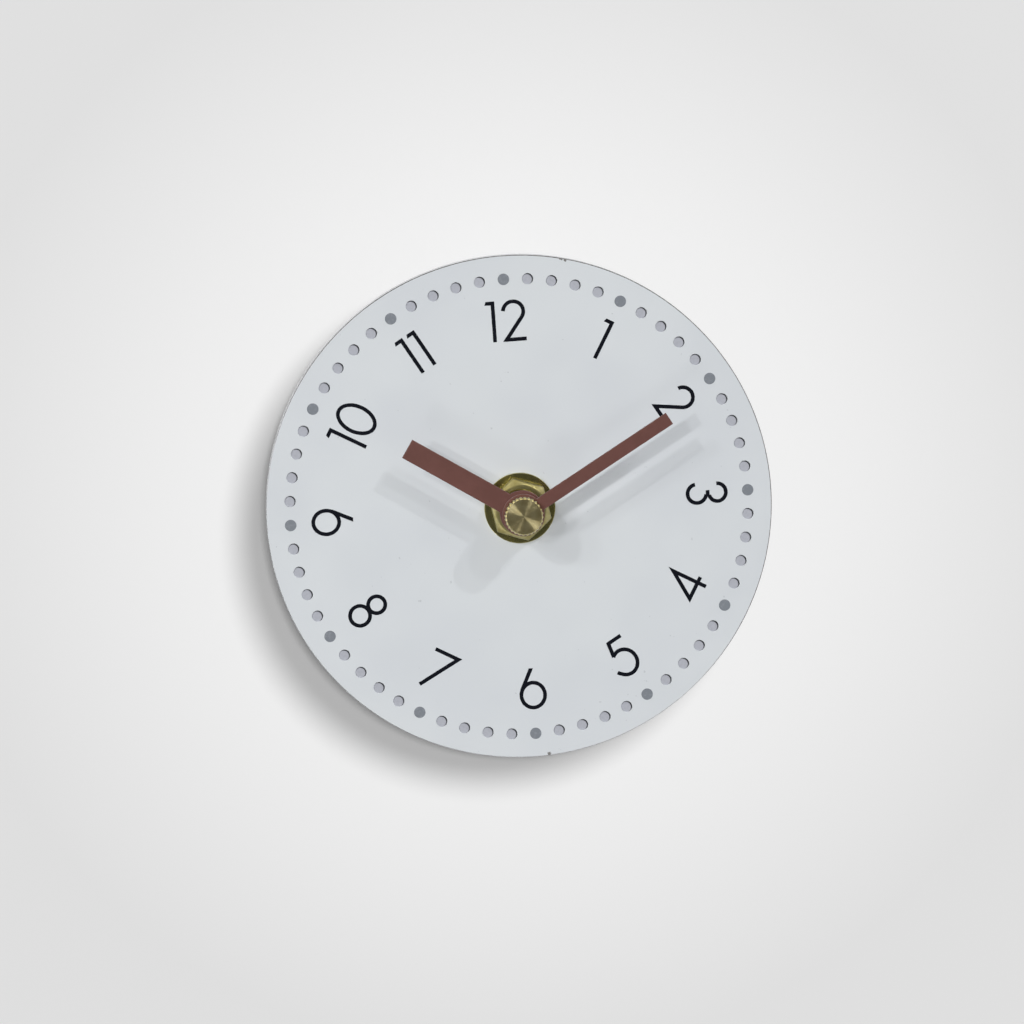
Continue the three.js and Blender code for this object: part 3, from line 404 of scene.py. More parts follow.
def makeSpunBrass(cap):
    # The cap's end is faced on a lathe, so its gloss runs out from the middle in rays.
    bench = Paint("spunBrass", Metallic=1.0, Anisotropic=cap["anisotropy"])
    across = bench.scaled(1, 0, 1)
    outward = bench.add("ShaderNodeVectorTransform", {"Vector": bench.vector("NORMALIZE", across)},
                        vector_type="VECTOR", convert_from="OBJECT", convert_to="WORLD")
    line = bench.grooves(bench.measure("LENGTH", across), fineness=16000.0, detail=3.0)
    cloud = bench.smooth(bench.noise(1.6), 0.3, 0.75)
    shade = bench.blend(cloud, cap["faceBright"], cap["faceDeep"])
    shade = bench.blend(bench.smooth(line, 0.35, 0.7, 0.0, 0.35), shade, cap["groove"])
    rough = bench.smooth(line, 0.2, 0.8, cap["faceRoughness"], cap["faceRoughness"] + 0.1)
    return bench.finish(Base_Color=shade, Roughness=rough, Tangent=outward,
                        Normal=bench.bump(line, 0.1, 0.006))


def makeSteel(name, tint, roughness, grain):
    # Zinc plating or sintered metal: a fine even grain, a little cloudier in places.
    bench = Paint(name, Metallic=1.0)
    cloud = bench.noise(6, detail=2)
    return bench.finish(Base_Color=bench.blend(bench.smooth(cloud), tint, darker(tint, 0.9)),
                        Roughness=bench.between(cloud, roughness - 0.03, roughness + 0.05),
                        Normal=bench.bump(bench.noise(grain), 0.1, 0.004))


def makeMoulded(name, tint, roughness, grain, depth, glow=0.0):
    # Moulded plastic with the fine spark-eroded skin of its tool.
    bench = Paint(name, Subsurface_Weight=glow, Subsurface_Scale=0.001)
    skin = bench.noise(grain, roughness=0.6)
    flow = bench.smooth(bench.noise(14, detail=2))
    return bench.finish(Base_Color=bench.blend(flow, tint, darker(tint, 0.82)),
                        Roughness=bench.between(skin, roughness - 0.07, roughness + 0.07),
                        Normal=bench.bump(skin, 0.35, depth))


def makeRubber(name, rubber):
    bench = Paint(name, Specular_IOR_Level=0.25)
    dust = bench.noise(0.8, detail=5, roughness=0.65)
    return bench.finish(Base_Color=bench.blend(bench.smooth(dust, 0.5, 0.8), rubber["tint"], rubber["dust"]),
                        Roughness=bench.between(dust, 0.72, 0.9), Normal=bench.bump(dust, 0.3, 0.02))


def makeCopper(name, copper):
    # Enamelled wire in close turns round the coil's length, which runs along X.
    bench = Paint(name, Metallic=1.0, Coat_Weight=0.6, Coat_Roughness=0.15)
    turns = bench.math("SINE", bench.math("MULTIPLY", bench.parts()[0], 2000 * pi / copper["pitch"]))
    patch = bench.noise(2.2)
    return bench.finish(Base_Color=bench.blend(bench.smooth(patch), copper["bright"], copper["deep"]),
                        Roughness=bench.between(patch, 0.28, 0.42),
                        Normal=bench.bump(turns, 0.5, 0.03))


def makeBoard(name, board):
    # Green solder resist over tracks, with the bare glass cloth showing through in places.
    bench = Paint(name, Coat_Weight=0.3, Coat_Roughness=0.25)
    values = {"Vector": bench.scaled(1, 0, 1), "Scale": 520.0, "Randomness": 0.35}
    cells = bench.add("ShaderNodeTexVoronoi", values, feature="DISTANCE_TO_EDGE", distance="EUCLIDEAN")
    track = bench.smooth(cells.outputs["Distance"], 0.10, 0.16)
    cloth = bench.noise(0.3, place=bench.scaled(1, 1, 6))
    shade = bench.blend(track, board["track"], board["resist"])
    shade = bench.blend(bench.smooth(cloth, 0.55, 0.8, 0, 0.3), shade, board["cloth"])
    return bench.finish(Base_Color=shade, Roughness=bench.between(cloth, 0.38, 0.5),
                        Normal=bench.bump(track, 0.4, 0.03))


def makeJacket(name, jacket):
    # Plain film shrunk on to the can, with a pale grey band at the positive end.
    bench = Paint(name, Metallic=0.4, Coat_Weight=0.5, Coat_Roughness=0.15)
    start, blur = jacket["bandStart"] / 1000, 1e-4
    band = bench.smooth(bench.parts()[0], start - blur, start + blur)
    cloud = bench.noise(7, detail=2)
    shade = bench.blend(band, jacket["film"], jacket["band"])
    shade = bench.blend(bench.smooth(cloud, 0.4, 0.7, 0, 0.15), shade, jacket["fade"])
    return bench.finish(Base_Color=shade, Roughness=bench.between(cloud, 0.3, 0.36),
                        Normal=bench.bump(bench.noise(2.5, detail=2), 0.04, 0.01))


dial = {
    "paint": colour(210, 214, 217), "paintShade": colour(206, 210, 214), "gloss": (0.36, 0.44),
    "speck": colour(150, 154, 160), "specks": (0.745, 0.77), "speckShare": 0.35,
    # the side colour is the white paint darkened as if in shade
    "side": colour(186, 188, 190), "rim": (49.82, 49.88),
    "back": colour(132, 132, 130), "backFrom": (2.8, 2.9),
    # the edge colours, with the direction and span below, paint a shade line along the upper front edge
    "edge": colour(72, 70, 70), "edgeLight": colour(104, 102, 101), "arris": 0.24,
    "shadedSideToward": (0.55, 0, 0.83), "shadedSide": (-17.5, 5),
    "chip": colour(120, 118, 116), "chipLevel": 21.2, "chipRagged": 2.2,
    "chips": [(11.7, 48.5, 0.34), (12.4, 48.2, 0.4), (13.1, 48.1, 0.3), (2.4, -49.8, 0.4)],
    "sides": 240, "bore": 8.2, "boreBreak": 0.1, "edgeBreak": 0.14,
    "dotRing": 45.3, "dot": 2.2, "dotSides": 40, "dotDepth": 0.3, "dotLip": 0.04, "dotRoom": 0.01,
    "hourDot": 2.28,
    "minuteInk": colour(171, 173, 181), "minuteShade": colour(165, 167, 175),
    # the darkest ink colour, its offset and its span paint the rim's shadow on the upper-right side of each
    # recess floor
    "minuteRimShadow": colour(46, 47, 51), "rimShadowToward": (0.20, 0.13), "rimShadowSpan": (0.95, 1.16),
    "hourInk": colour(119, 124, 131), "inkRise": 0.03, "inkSink": 0.05,
    "numeralInk": colour(5, 7, 16), "numeralThin": colour(26, 28, 36),
}
plateSpan = spanOf("dial_plate")
dialFace = plateSpan["front"]
dialPaint = makeDialPaint(dial)
minuteInk = makeRecessInkAndShadow(dial)
hourInk = makeInk("hourInk", dial["hourInk"], dial["paint"])
numeralInk = makeInk("numeralInk", dial["numeralInk"], dial["numeralThin"], gloss=0.12)

recessTree, bench, given = newTree("minuteRecesses", ringSockets + [("Cutter", "Object", None),
                                                                   ("Material", "Material", None)])
cutter = bench.add("GeometryNodeObjectInfo", {"Object": given["Cutter"]}).outputs["Geometry"]
pierced = bench.add("GeometryNodeMeshBoolean", {"Mesh 1": given["Geometry"],
                                                "Mesh 2": dotRing(bench, given, cutter)},
                    operation="DIFFERENCE", solver="EXACT")
endTree(bench, pierced, given["Material"])

discTree, bench, given = newTree("printedDots", ringSockets + [
    ("Radius", "Float", 1.2), ("Thickness", "Float", 0.1), ("Sides", "Int", 40),
    ("Material", "Material", None)])
disc = bench.add("GeometryNodeMeshCylinder", {"Vertices": given["Sides"], "Radius": given["Radius"],
                                              "Depth": given["Thickness"]})
endTree(bench, dotRing(bench, given, disc), given["Material"])


def makeDial():
    half, back, front, edge = plateSpan["radius"], plateSpan["back"], dialFace, dial["edgeBreak"]
    bore, boreEdge = dial["bore"] / 2, dial["boreBreak"]
    profile = rounded([(bore, back), (half, back), (half, front), (bore, front)],
                      [boreEdge, edge, edge, boreEdge], 4)
    blank = turned("dialBlank", profile, dial["sides"], place=None)
    hole, lip, depth = dial["dot"] / 2, dial["dotLip"], dial["dotDepth"]
    profile = [(0, -depth), (hole, -depth), (hole, -lip), (hole + lip, 0), (hole + lip, 1), (0, 1)]
    cutter = addObject("dotCutter", turned("dotCutter", profile, dial["dotSides"], closed=False, place=None))
    ring = {"Ring Radius": dial["dotRing"]}
    values = {**ring, "Level": front, "Cutter": cutter, "Material": dialPaint}
    mesh = grow(recessTree, "dialFace", values, blank)
    bpy.data.objects.remove(cutter)
    face = finishMesh(mesh, "dial_face", dialPaint, "frame", ["dial_plate"])
    ring["Thickness"] = dial["inkRise"] + dial["inkSink"]
    level = front + (dial["inkRise"] - dial["inkSink"]) / 2
    dots = [("minuteDots", "minute_dots", minuteInk, level - depth, hole - dial["dotRoom"], False),
            ("hourDots", "hour_dots", hourInk, level, dial["hourDot"] / 2, True)]
    for meshName, name, ink, level, radius, fifths in dots:
        values = {**ring, "Level": level, "Radius": radius, "Fifths": fifths, "Material": ink}
        finishMesh(grow(discTree, meshName, values), name, ink, "frame")
    return face


dialPiece = makeDial()
print("dial plate and its dots made")


numeral = {"weight": 0.75, "flagReach": 2.0, "flagTop": 1.72, "flagDrop": 0.74, "arcStep": 7}


def arc(x, y, acrossRadius, upRadius, start, end):
    steps = max(2, round(abs(end - start) / numeral["arcStep"]))
    turns = [radians(start + (end - start) * i / steps) for i in range(steps + 1)]
    return [(x + acrossRadius * cos(t), y + upRadius * sin(t)) for t in turns]


def flagStem(right, low, high):
    left, under = right - numeral["weight"], high - numeral["flagDrop"]
    return [(right - numeral["flagReach"], under), (left, under), (left, low), (right, low), (right, high),
            (right - numeral["flagTop"], high)]


def twoStroke(x):
    return arc(x + 0.1, 38.85, 2.0, 2.0, 174, -35) + [(x - 1.55, 33.35), (x + 2.42, 33.35)]


# Each numeral is drawn in the middle of its own sector, with y as the distance from the hand axis.
numerals = {
    1: {"shapes": [flagStem(0.78, 33.0, 41.1)]},
    2: {"strokes": [twoStroke(0)]},
    3: {"strokes": [arc(0, 39.25, 1.77, 1.7, 183, -75), [(-0.55, 37.35), (0.75, 37.35)],
                    arc(0, 35.2, 1.85, 1.85, 82, -172)]},
    4: {"strokes": [[(-2.95, 38.45), (1.85, 38.45), (-1.73, 33.08), (-1.73, 40.3)]]},
    5: {"strokes": [[(-2.2, 32.52), (0.71, 32.52), (1.33, 35.42)],
                    arc(0, 37.45, 2.4, 2.6, -54, -318) + [(2.15, 38.8), (2.42, 38.38)]]},
    6: {"rings": [(-0.05, 37.6, 2.35, 2.5)], "cut": [[(0.05, 32.2), (2.09, 36.45)]]},
    7: {"strokes": [[(2.7, 32.52), (-2.32, 32.52), (2.48, 40.22)]]},
    8: {"rings": [(0.03, 38.1, 1.98, 1.98), (0, 34.15, 1.68, 1.7)]},
    9: {"rings": [(0.05, 38.28, 2.35, 2.55)], "cut": [[(0.2, 32.95), (2.2, 37.1)]]},
    10: {"shapes": [flagStem(-1.85, 32.55, 40.7)], "rings": [(1.9, 36.7, 2.5, 3.85)]},
    11: {"shapes": [flagStem(-0.3, 32.9, 40.95), flagStem(2.5, 32.9, 40.95)]},
    12: {"shapes": [flagStem(-2.12, 33.05, 41.1)], "strokes": [twoStroke(1.35)]},
}


def strokeOutline(points, flatStart=False):
    half = numeral["weight"] / 2
    ways = [(Vector(b) - Vector(a)).normalized() for a, b in zip(points, points[1:])]
    sides = ([], [])
    for i, point in enumerate(points):
        into, out = ways[max(0, i - 1)], ways[min(i, len(ways) - 1)]
        n0, n1 = Vector((-into.y, into.x)), Vector((-out.y, out.x))
        mitre = (n0 + n1) * (2 / (n0 + n1).length_squared)
        for side, sign in zip(sides, (1, -1)):
            at = Vector(point) + mitre * half * sign
            if i == 0 and flatStart:
                at += out * ((point[1] - at.y) / out.y)
            side.append(tuple(at))
    return sides[1] + sides[0][::-1]


def makeNumerals():
    low, high = dialFace - dial["inkSink"], dialFace + dial["inkRise"]
    half = numeral["weight"] / 2
    bm = bmesh.new()
    for hour, drawn in numerals.items():
        sets = [[shape] for shape in drawn.get("shapes", [])]
        sets += [[strokeOutline(line)] for line in drawn.get("strokes", [])]
        sets += [[strokeOutline(line, True)] for line in drawn.get("cut", [])]
        sets += [[arc(x, y, a + half, b + half, 0, 360)[:-1], arc(x, y, a - half, b - half, 360, 0)[:-1]]
                 for x, y, a, b in drawn.get("rings", [])]
        for contours in sets:
            slab(bm, swung(contours, 30 * hour), [(0, low), (0, high)])
    bmesh.ops.recalc_face_normals(bm, faces=bm.faces)
    tree, bench, given = newTree("weldedStrokes", [("Material", "Material", None)])
    welded = bench.add("GeometryNodeMeshBoolean", {"Mesh 2": given["Geometry"], "Self Intersection": True},
                       operation="UNION", solver="EXACT")
    endTree(bench, welded, given["Material"])
    mesh = grow(tree, "numerals", {"Material": numeralInk}, toMesh(bm, "numeralStrokes"))
    finishMesh(mesh, "numerals", numeralInk, "frame")


makeNumerals()
print("numerals made")


turnedSides = 96
washer = {"bright": colour(176, 168, 112), "deep": colour(160, 150, 90), "roughness": 0.2, "lathe": 0.02,
          "smudge": 0.06, "bore": 8.0, "boreEdge": 0.1, "edge": 0.08, "backEdge": 0.05, "crown": 0.05,
          "steps": 8}
washerBrass = makeBrass("washerBrass", washer)


def makeWasher():
    span = spanOf("brass_washer")
    bore, out, steps, edge = washer["bore"] / 2, span["radius"], washer["steps"], washer["edge"]
    top = [(out + (bore - out) * k / steps, span["front"] - washer["crown"] * (1 - k / steps) ** 2)
           for k in range(steps + 1)]
    radii = [washer["backEdge"], edge, edge] + [0] * (steps - 1) + [washer["boreEdge"]]
    mesh = turned("washer", rounded([(bore, span["back"]), (out, span["back"])] + top, radii, 4), turnedSides)
    finishMesh(mesh, "washer", washerBrass, "frame", ["brass_washer"])


nut = {"bright": colour(164, 156, 112), "deep": colour(138, 128, 80), "roughness": 0.26, "lathe": 0.06,
       "smudge": 0.08, "acrossFlats": 11, "turn": 10.3, "corner": 0.25, "flatParts": 12, "bore": 8.0,
       "boreEdge": 0.25, "crown": 0.14, "crownCurve": 1.6, "crownSteps": (0.5, 0.75), "chamferStart": 5.15,
       "slope": 0.72, "edge": 0.16}
nutBrass = makeBrass("nutBrass", nut)


def makeNut():
    span = spanOf("hex_nut")
    tip = nut["acrossFlats"] / sqrt(3)
    corners = [(tip * cos(radians(60 * i + 90)), tip * sin(radians(60 * i + 90))) for i in range(6)]
    outline = []
    soft = rounded(corners, [nut["corner"]] * 6)
    for (x, y), (toX, toY) in zip(soft, soft[1:] + soft[:1]):
        parts = nut["flatParts"] if hypot(toX - x, toY - y) > 1 else 1
        outline += [(x + (toX - x) * k / parts, y + (toY - y) * k / parts) for k in range(parts)]
    outline = [Vector(p) for p in swung([outline], -nut["turn"])[0]]
    start, edge, bore, boreEdge = nut["chamferStart"], nut["edge"], nut["bore"] / 2, nut["boreEdge"]

    def drop(radius):
        rise = min(1.0, max(0.0, radius - bore) / (start - bore))
        return nut["crown"] * rise ** nut["crownCurve"] + max(0.0, radius - start) * nut["slope"]

    def stations(full):
        # (radius, depth under the crown and chamfer) from the bore to the outline, whose radius is full
        crown = [(bore + (start - bore) * share, 0.0) for share in nut["crownSteps"]]
        chamfer = [(start, 0.0), (start + (full - edge - start) * 0.5, 0.0), (full - edge, 0.0)]
        return [(bore, boreEdge), (bore + boreEdge, 0.0), *crown, *chamfer,
                (full - edge * 0.3, edge * 0.4), (full, edge * 1.1)]

    rings = []
    for z, sign in ((span["front"], 1), (span["back"], -1)):
        spokes = [[(*(p.normalized() * r), z - sign * (drop(r) + extra)) for r, extra in stations(p.length)]
                  for p in outline]
        rings += list(zip(*spokes))[::sign]
    bm = bmesh.new()
    loft(bm, rings, closed=True)
    finishMesh(weldedMesh(bm, "nut"), "nut", nutBrass, "frame", ["hex_nut"], sharp=28)


cap = {"bright": colour(196, 184, 138), "deep": colour(170, 156, 106), "roughness": 0.1, "lathe": 0.04,
       "smudge": 0.05, "faceBright": colour(160, 150, 114), "faceDeep": colour(142, 130, 92),
       "faceRoughness": 0.31, "groove": colour(120, 108, 73), "anisotropy": 1.0, "bore": 2.7, "web": 0.7,
       "knurls": 28, "toothSteps": 6, "knurlDepth": 0.22, "bevel": 0.42, "faceEdge": 0.02, "faceLip": 0.015,
       "backEdge": 0.15}
spunBrass = makeSpunBrass(cap)
capBrass = makeBrass("capBrass", cap)


def makeCap():
    # The face has a material of its own; the knurled skirt and the bevel are polished.
    span = spanOf("cap_nut")
    out, back, front, bevel = span["radius"], span["back"], span["front"], cap["bevel"]
    count = cap["toothSteps"] * cap["knurls"]
    middle, bore, web, edge = 0.01, cap["bore"] / 2, front - cap["web"], cap["backEdge"]
    bevelTop, bevelSide = front - bevel * 0.4, out - bevel * 0.45

    def toothed(radius, z, share):
        # Each tooth runs up and down again in straight lines.
        made = []
        for i in range(count):
            t = 2 * pi * i / count
            r = radius - cap["knurlDepth"] * share * abs(i % cap["toothSteps"] / cap["toothSteps"] - 0.5) * 2
            made.append((r * cos(t), r * sin(t), z))
        return made

    rings = [circle(middle, front, count), circle(out - bevel - cap["faceEdge"], front, count),
             toothed(out - bevel, front - cap["faceLip"], 0), toothed(bevelSide, bevelTop, 1),
             toothed(out, front - bevel, 1), toothed(out, back + edge, 1), toothed(out - edge, back, 0.6),
             circle(bore, back, count), circle(bore, web, count), circle(middle, web, count)]
    bm = bmesh.new()
    loft(bm, rings, caps=True)
    mesh = weldedMesh(bm, "capNut")
    finishMesh(mesh, "cap", capBrass, "minute", ["cap_nut"], sharp=40)
    mesh.materials.append(spunBrass)
    for face in mesh.polygons:
        if face.center.y * -1000 > front - 0.01:
            face.material_index = 1


thread = {"major": 7.7, "root": 7.0, "pitch": 0.75, "flange": 11, "bore": 5.6, "seatDepth": 1.75,
          "startDepth": 0.2, "plainEnd": 0.5, "edge": 0.1, "endEdge": 0.3, "boreEdge": 0.15}


def makeBushing():
    # The bushing's neck, with its thread wound round it from just over the flange to near the end.
    span, case = spanOf("threaded_bushing"), spanOf("front_case")
    low, seat = case["front"] - thread["startDepth"], case["front"] - thread["seatDepth"]
    back, high, edge = span["back"], span["front"], thread["edge"]
    root, flange, bore = thread["root"] / 2, thread["flange"] / 2, thread["bore"] / 2
    corners = [(bore, back), (flange, back), (flange, seat), (root, seat), (root, high), (bore, high)]
    profile = rounded(corners, [edge, edge, edge, 0, thread["endEdge"], thread["boreEdge"]])
    neck = turned("neck", profile, turnedSides, place=None)
    tree, bench, given = newTree("screwThread", [
        ("Start", "Float", 16.0), ("Length", "Float", 11.0), ("Radius", "Float", 3.6),
        ("Pitch", "Float", 0.75), ("Crest", "Float", 0.3), ("Material", "Material", None)])
    length, radius = given["Length"], given["Radius"]
    turns = bench.math("DIVIDE", length, given["Pitch"])
    helix = bench.add("GeometryNodeCurveSpiral", {"Resolution": 48, "Rotations": turns, "Height": length,
                                                  "Start Radius": radius, "End Radius": radius})
    crest = bench.add("GeometryNodeCurvePrimitiveCircle", {"Resolution": 4, "Radius": given["Crest"]})
    ridge = bench.add("GeometryNodeCurveToMesh", {"Curve": helix, "Profile Curve": crest, "Fill Caps": True})
    joined = bench.add("GeometryNodeJoinGeometry")
    for part in (given["Geometry"], raised(bench, ridge, given["Start"])):
        bench.feed(joined.inputs[0], part)
    endTree(bench, joined, given["Material"])
    values = {"Start": low, "Length": high - low - thread["plainEnd"], "Radius": root,
              "Pitch": thread["pitch"], "Crest": (thread["major"] - thread["root"]) / 2, "Material": nutBrass}
    mesh = grow(tree, "bushing", values, neck)
    finishMesh(mesh, "bushing", nutBrass, "frame", ["threaded_bushing"])


makeWasher()
makeNut()
makeCap()
makeBushing()
print("nut, washer, cap and bushing made")


hands = {"paint": colour(102, 67, 61), "paintDark": colour(95, 62, 56), "paintLight": colour(126, 88, 80),
         "gloss": (0.34, 0.48), "edge": 0.1, "edgeShare": 0.3, "tipCorner": 0.12, "hubSides": 60,
         "boreSides": 48}
handPaint = makeHandPaint(hands)


def makeHand(name, node, body, hand):
    span = spanOf(node)
    hub, half, length = hand["hub"] / 2, hand["width"] / 2, hand["length"]
    foot = sqrt(hub * hub - half * half)
    blade = rounded([(half, foot), (half, length), (-half, length), (-half, foot)],
                    [0, hands["tipCorner"], hands["tipCorner"], 0])
    start, count = atan2(foot, -half), hands["hubSides"]
    sweep = 2 * pi - 2 * (start - pi / 2)
    angles = [start + sweep * i / count for i in range(1, count)]
    around = [(hub * cos(angle), hub * sin(angle)) for angle in angles]
    bore, count = hand["bore"] / 2, hands["boreSides"]
    hole = [(bore * cos(-2 * pi * i / count), bore * sin(-2 * pi * i / count)) for i in range(count)]
    if "flats" in hand:
        hole = [(max(-hand["flats"] / 2, min(hand["flats"] / 2, x)), y) for x, y in hole]
        hole = [p for i, p in enumerate(hole) if hypot(p[0] - hole[i - 1][0], p[1] - hole[i - 1][1]) > 1e-4]
    edge, small, low, high = hands["edge"], hands["edge"] * hands["edgeShare"], span["back"], span["front"]
    profile = [(edge, low), (small, low + small), (0, low + edge),
               (0, high - edge), (small, high - small), (edge, high)]
    bm = bmesh.new()
    slab(bm, swung((blade + around, hole), hand["angle"]), profile)
    finishMesh(weldedMesh(bm, name), name, handPaint, body, [node])


makeHand("hour_hand_blade", "hour_hand", "hour",
         {"hub": 8.8, "width": 4.1, "length": 25.9, "bore": 6.8, "angle": -56.4})
makeHand("minute_hand_blade", "minute_hand", "minute",
         {"hub": 8.3, "width": 2.6, "length": 34.2, "bore": 3.8, "flats": 2.8, "angle": 60.6})
print("hands made")


# Most nodes of the movement keep their shapes and get their own finishes.
finishes = {material.name: material for material in (
    makeMoulded("caseBlack", colour(30, 30, 32), roughness=0.5, grain=0.35, depth=0.02),
    makeMoulded("bobbinBlack", colour(24, 24, 25), roughness=0.38, grain=0.5, depth=0.01),
    makeMoulded("gearNylon", colour(232, 230, 221), roughness=0.42, grain=0.8, depth=0.008, glow=0.25),
    makeSteel("zincSteel", (0.62, 0.63, 0.64, 1), roughness=0.36, grain=0.25),
    makeSteel("magnetGrey", (0.16, 0.16, 0.17, 1), roughness=0.5, grain=0.3),
    makeBrass("brassPlain", {**nut, "roughness": 0.2, "lathe": 0.1, "smudge": 0.15}),
    makeRubber("rubberBlack", {"tint": colour(26, 26, 27), "dust": colour(52, 52, 52)}),
    makeCopper("copperWire", {"bright": (0.72, 0.3, 0.14, 1), "deep": (0.55, 0.2, 0.09, 1), "pitch": 0.25}),
    makeBoard("boardGreen", {"resist": colour(18, 74, 46), "track": colour(30, 104, 62),
                             "cloth": colour(70, 110, 70)}),
    makeJacket("cellJacket", {"bandStart": 12.0, "film": colour(44, 76, 108), "band": colour(160, 164, 168),
                              "fade": colour(88, 108, 128)}),
)}
finishOf = {
    "bobbinBlack": ["coil_bobbin", "clock_chip"],
    "gearNylon": ["middle_plate", "hour_wheel", "motion_wheel", "centre_wheel", "third_wheel", "second_wheel",
                  "intermediate_wheel", "rotor_pinion", "setting_pinion"],
    "zincSteel": ["board_screw", "positive_contact", "negative_contact", "minute_shaft", "quartz_crystal",
                  "stator", "coil_core"],
    "magnetGrey": ["rotor_magnet"],
    "brassPlain": ["friction_washer"],
    "rubberBlack": ["cushion_washer"],
    "copperWire": ["coil_winding"],
    "boardGreen": ["circuit_board"],
}
for finish, names in finishOf.items():
    for nodeName in names:
        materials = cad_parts[nodeName].data.materials
        materials.clear()
        materials.append(finishes[finish])
print("movement finishes set")


mouldings = [
    # piece, its node, body, slot and finish, and the width of the round along its edges
    ("case_shell", "front_case", "frame", "case_black", "caseBlack", 0.3),
    ("back_cover", "rear_cover", "frame", "case_black", "caseBlack", 0.2),
    ("hanger", "hanger_plate", "frame", "steel", "zincSteel", 0.15),
    ("knob", "setting_knob", "setting", "gear_plastic", "gearNylon", 0.12),
]


def makeMoulding(name, node, body, slot, finish, width):
    # A copy of the node with a small round on every corner. Walls that curve are shaded round, the rest flat.
    flat, curved, corner = radians(1), radians(2), radians(30)
    bm = bmesh.new()
    bm.from_mesh(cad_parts[node].data)
    bmesh.ops.remove_doubles(bm, verts=bm.verts, dist=1e-6)
    bmesh.ops.dissolve_limit(bm, angle_limit=flat, verts=bm.verts, edges=bm.edges)
    for face in bm.faces:
        face.smooth = any(curved < edge.calc_face_angle(0) < corner for edge in face.edges)
    corners = [edge for edge in bm.edges if edge.calc_face_angle(0) > corner]
    rounds = set(bmesh.ops.bevel(bm, geom=corners, offset=width / 1000, offset_type="WIDTH", segments=2,
                                 profile=0.5, affect="EDGES", clamp_overlap=True)["faces"])
    for face in rounds:
        face.smooth = True
    for edge in bm.edges:
        edge.smooth = len({face in rounds for face in edge.link_faces}) == 1
    finishMesh(toMesh(bm, name), name, finishes[finish], body, [node], sharp=None)


for moulding in mouldings:
    makeMoulding(*moulding)


hourBush = {"bore": 5.4, "neck": 6.6, "edge": 0.1}


def makeHourBush():
    # The bush riveted under the hour hand, with its flange against the hand's back.
    span, shelf = spanOf("hour_hand_bush"), spanOf("hour_hand")["back"]
    bore, neck, flange, edge = hourBush["bore"] / 2, hourBush["neck"] / 2, span["radius"], hourBush["edge"]
    profile = rounded([(bore, span["back"]), (flange, span["back"]), (flange, shelf), (neck, shelf),
                       (neck, span["front"]), (bore, span["front"])], [edge, edge, edge, 0, edge, edge])
    finishMesh(turned("hourBush", profile, turnedSides), "hour_bush", finishes["brassPlain"], "hour",
               ["hour_hand_bush"])


makeHourBush()


cell = {"shoulder": 0.9, "nub": 5.5, "nubEdge": 0.5, "nubStep": 0.5, "rim": 0.3, "edge": 0.1}


def makeCell():
    # The can lies across the movement, so its profile is drawn along X.
    can, plus, minus = spanOf("battery_can"), spanOf("battery_positive_cap"), spanOf("battery_negative_cap")
    middle = ((can["bottom"] + can["top"]) / 2, (can["back"] + can["front"]) / 2)
    across = toFrame @ Matrix.Translation((0, *middle)) @ Matrix.Rotation(radians(90), 4, "Y")
    shoulder, rim, edge, nub = cell["shoulder"], cell["rim"], cell["edge"], cell["nub"] / 2
    step = plus["left"] + cell["nubStep"]

    def cylinder(span):
        half = (span["top"] - span["bottom"]) / 2
        return [(0, span["left"]), (half, span["left"]), (half, span["right"]), (0, span["right"])]

    start, corner, _, end = cylinder(plus)
    terminal = [start, corner, (corner[0], step), (nub, step), (nub, plus["right"]), end]
    pieces = [
        # mesh, piece, node, finish, slot, corners of its profile, how each is rounded, steps of a round
        ("cellCan", "cell_can", "battery_can", "cellJacket", "cell_jacket",
         cylinder(can), [0, shoulder, shoulder, 0], 6),
        ("cellBase", "cell_base", "battery_negative_cap", "zincSteel", "steel",
         cylinder(minus), [0, rim, edge, 0], 4),
        ("cellTop", "cell_top", "battery_positive_cap", "zincSteel", "steel",
         terminal, [0, edge, rim, rim, cell["nubEdge"], 0], 5),
    ]
    for meshName, name, node, finish, slot, corners, radii, steps in pieces:
        mesh = turned(meshName, rounded(corners, radii, steps), turnedSides, closed=False, place=across)
        finishMesh(mesh, name, finishes[finish], "battery", [node])


makeCell()
print("movement mouldings, hour bush and cell made")


# The two greys and the fade paint a pool of light round the clock; own is the level of a glow that stands in
# for room light.
wall = {"gap": 0.5, "half": 700, "litNear": colour(242, 242, 242), "far": colour(222, 222, 222),
        "fade": (46, 116), "own": 0.18}


def makeWall():
    # Pale on its front, and not there at all from behind. Its colour is painted lighter near the clock and
    # darker further out, a painted pool of light, and it glows a little to stand in for unshadowed room
    # light.
    bench = Paint("wallPaint")
    start, end = metres(wall["fade"])
    # Painted light: the colour goes from light near the clock to darker further out.
    fade = bench.add("ShaderNodeMapRange", {"Value": bench.fromAxis(), "From Min": start, "From Max": end})
    shade = bench.blend(fade, wall["litNear"], wall["far"])
    lit = bench.add("ShaderNodeBsdfDiffuse", {"Color": shade})
    # Painted light: an even glow that stands in for room light that no lamp casts.
    own = bench.add("ShaderNodeEmission", {"Color": shade, "Strength": wall["own"]})
    both = bench.add("ShaderNodeAddShader", {0: lit, 1: own})
    behind = bench.add("ShaderNodeNewGeometry").outputs["Backfacing"]
    mixed = bench.add("ShaderNodeMixShader", {0: behind, 1: both, 2: bench.add("ShaderNodeBsdfTransparent")})
    bench.feed(bench.shader.outputs[0].links[0].to_socket, mixed)
    bench.tree.nodes.remove(bench.shader)
    half, depth = metres((wall["half"], wall["gap"]))
    mesh = bpy.data.meshes.new("wall")
    corners = [(-half, depth, -half), (half, depth, -half), (half, depth, half), (-half, depth, half)]
    mesh.from_pydata(corners, [], [(0, 1, 2, 3)])
    mesh.materials.append(bench.material)
    piece = addObject("wall", mesh)
    piece.visible_shadow = False
    piece.visible_diffuse = False
    return piece


wallPiece = makeWall()

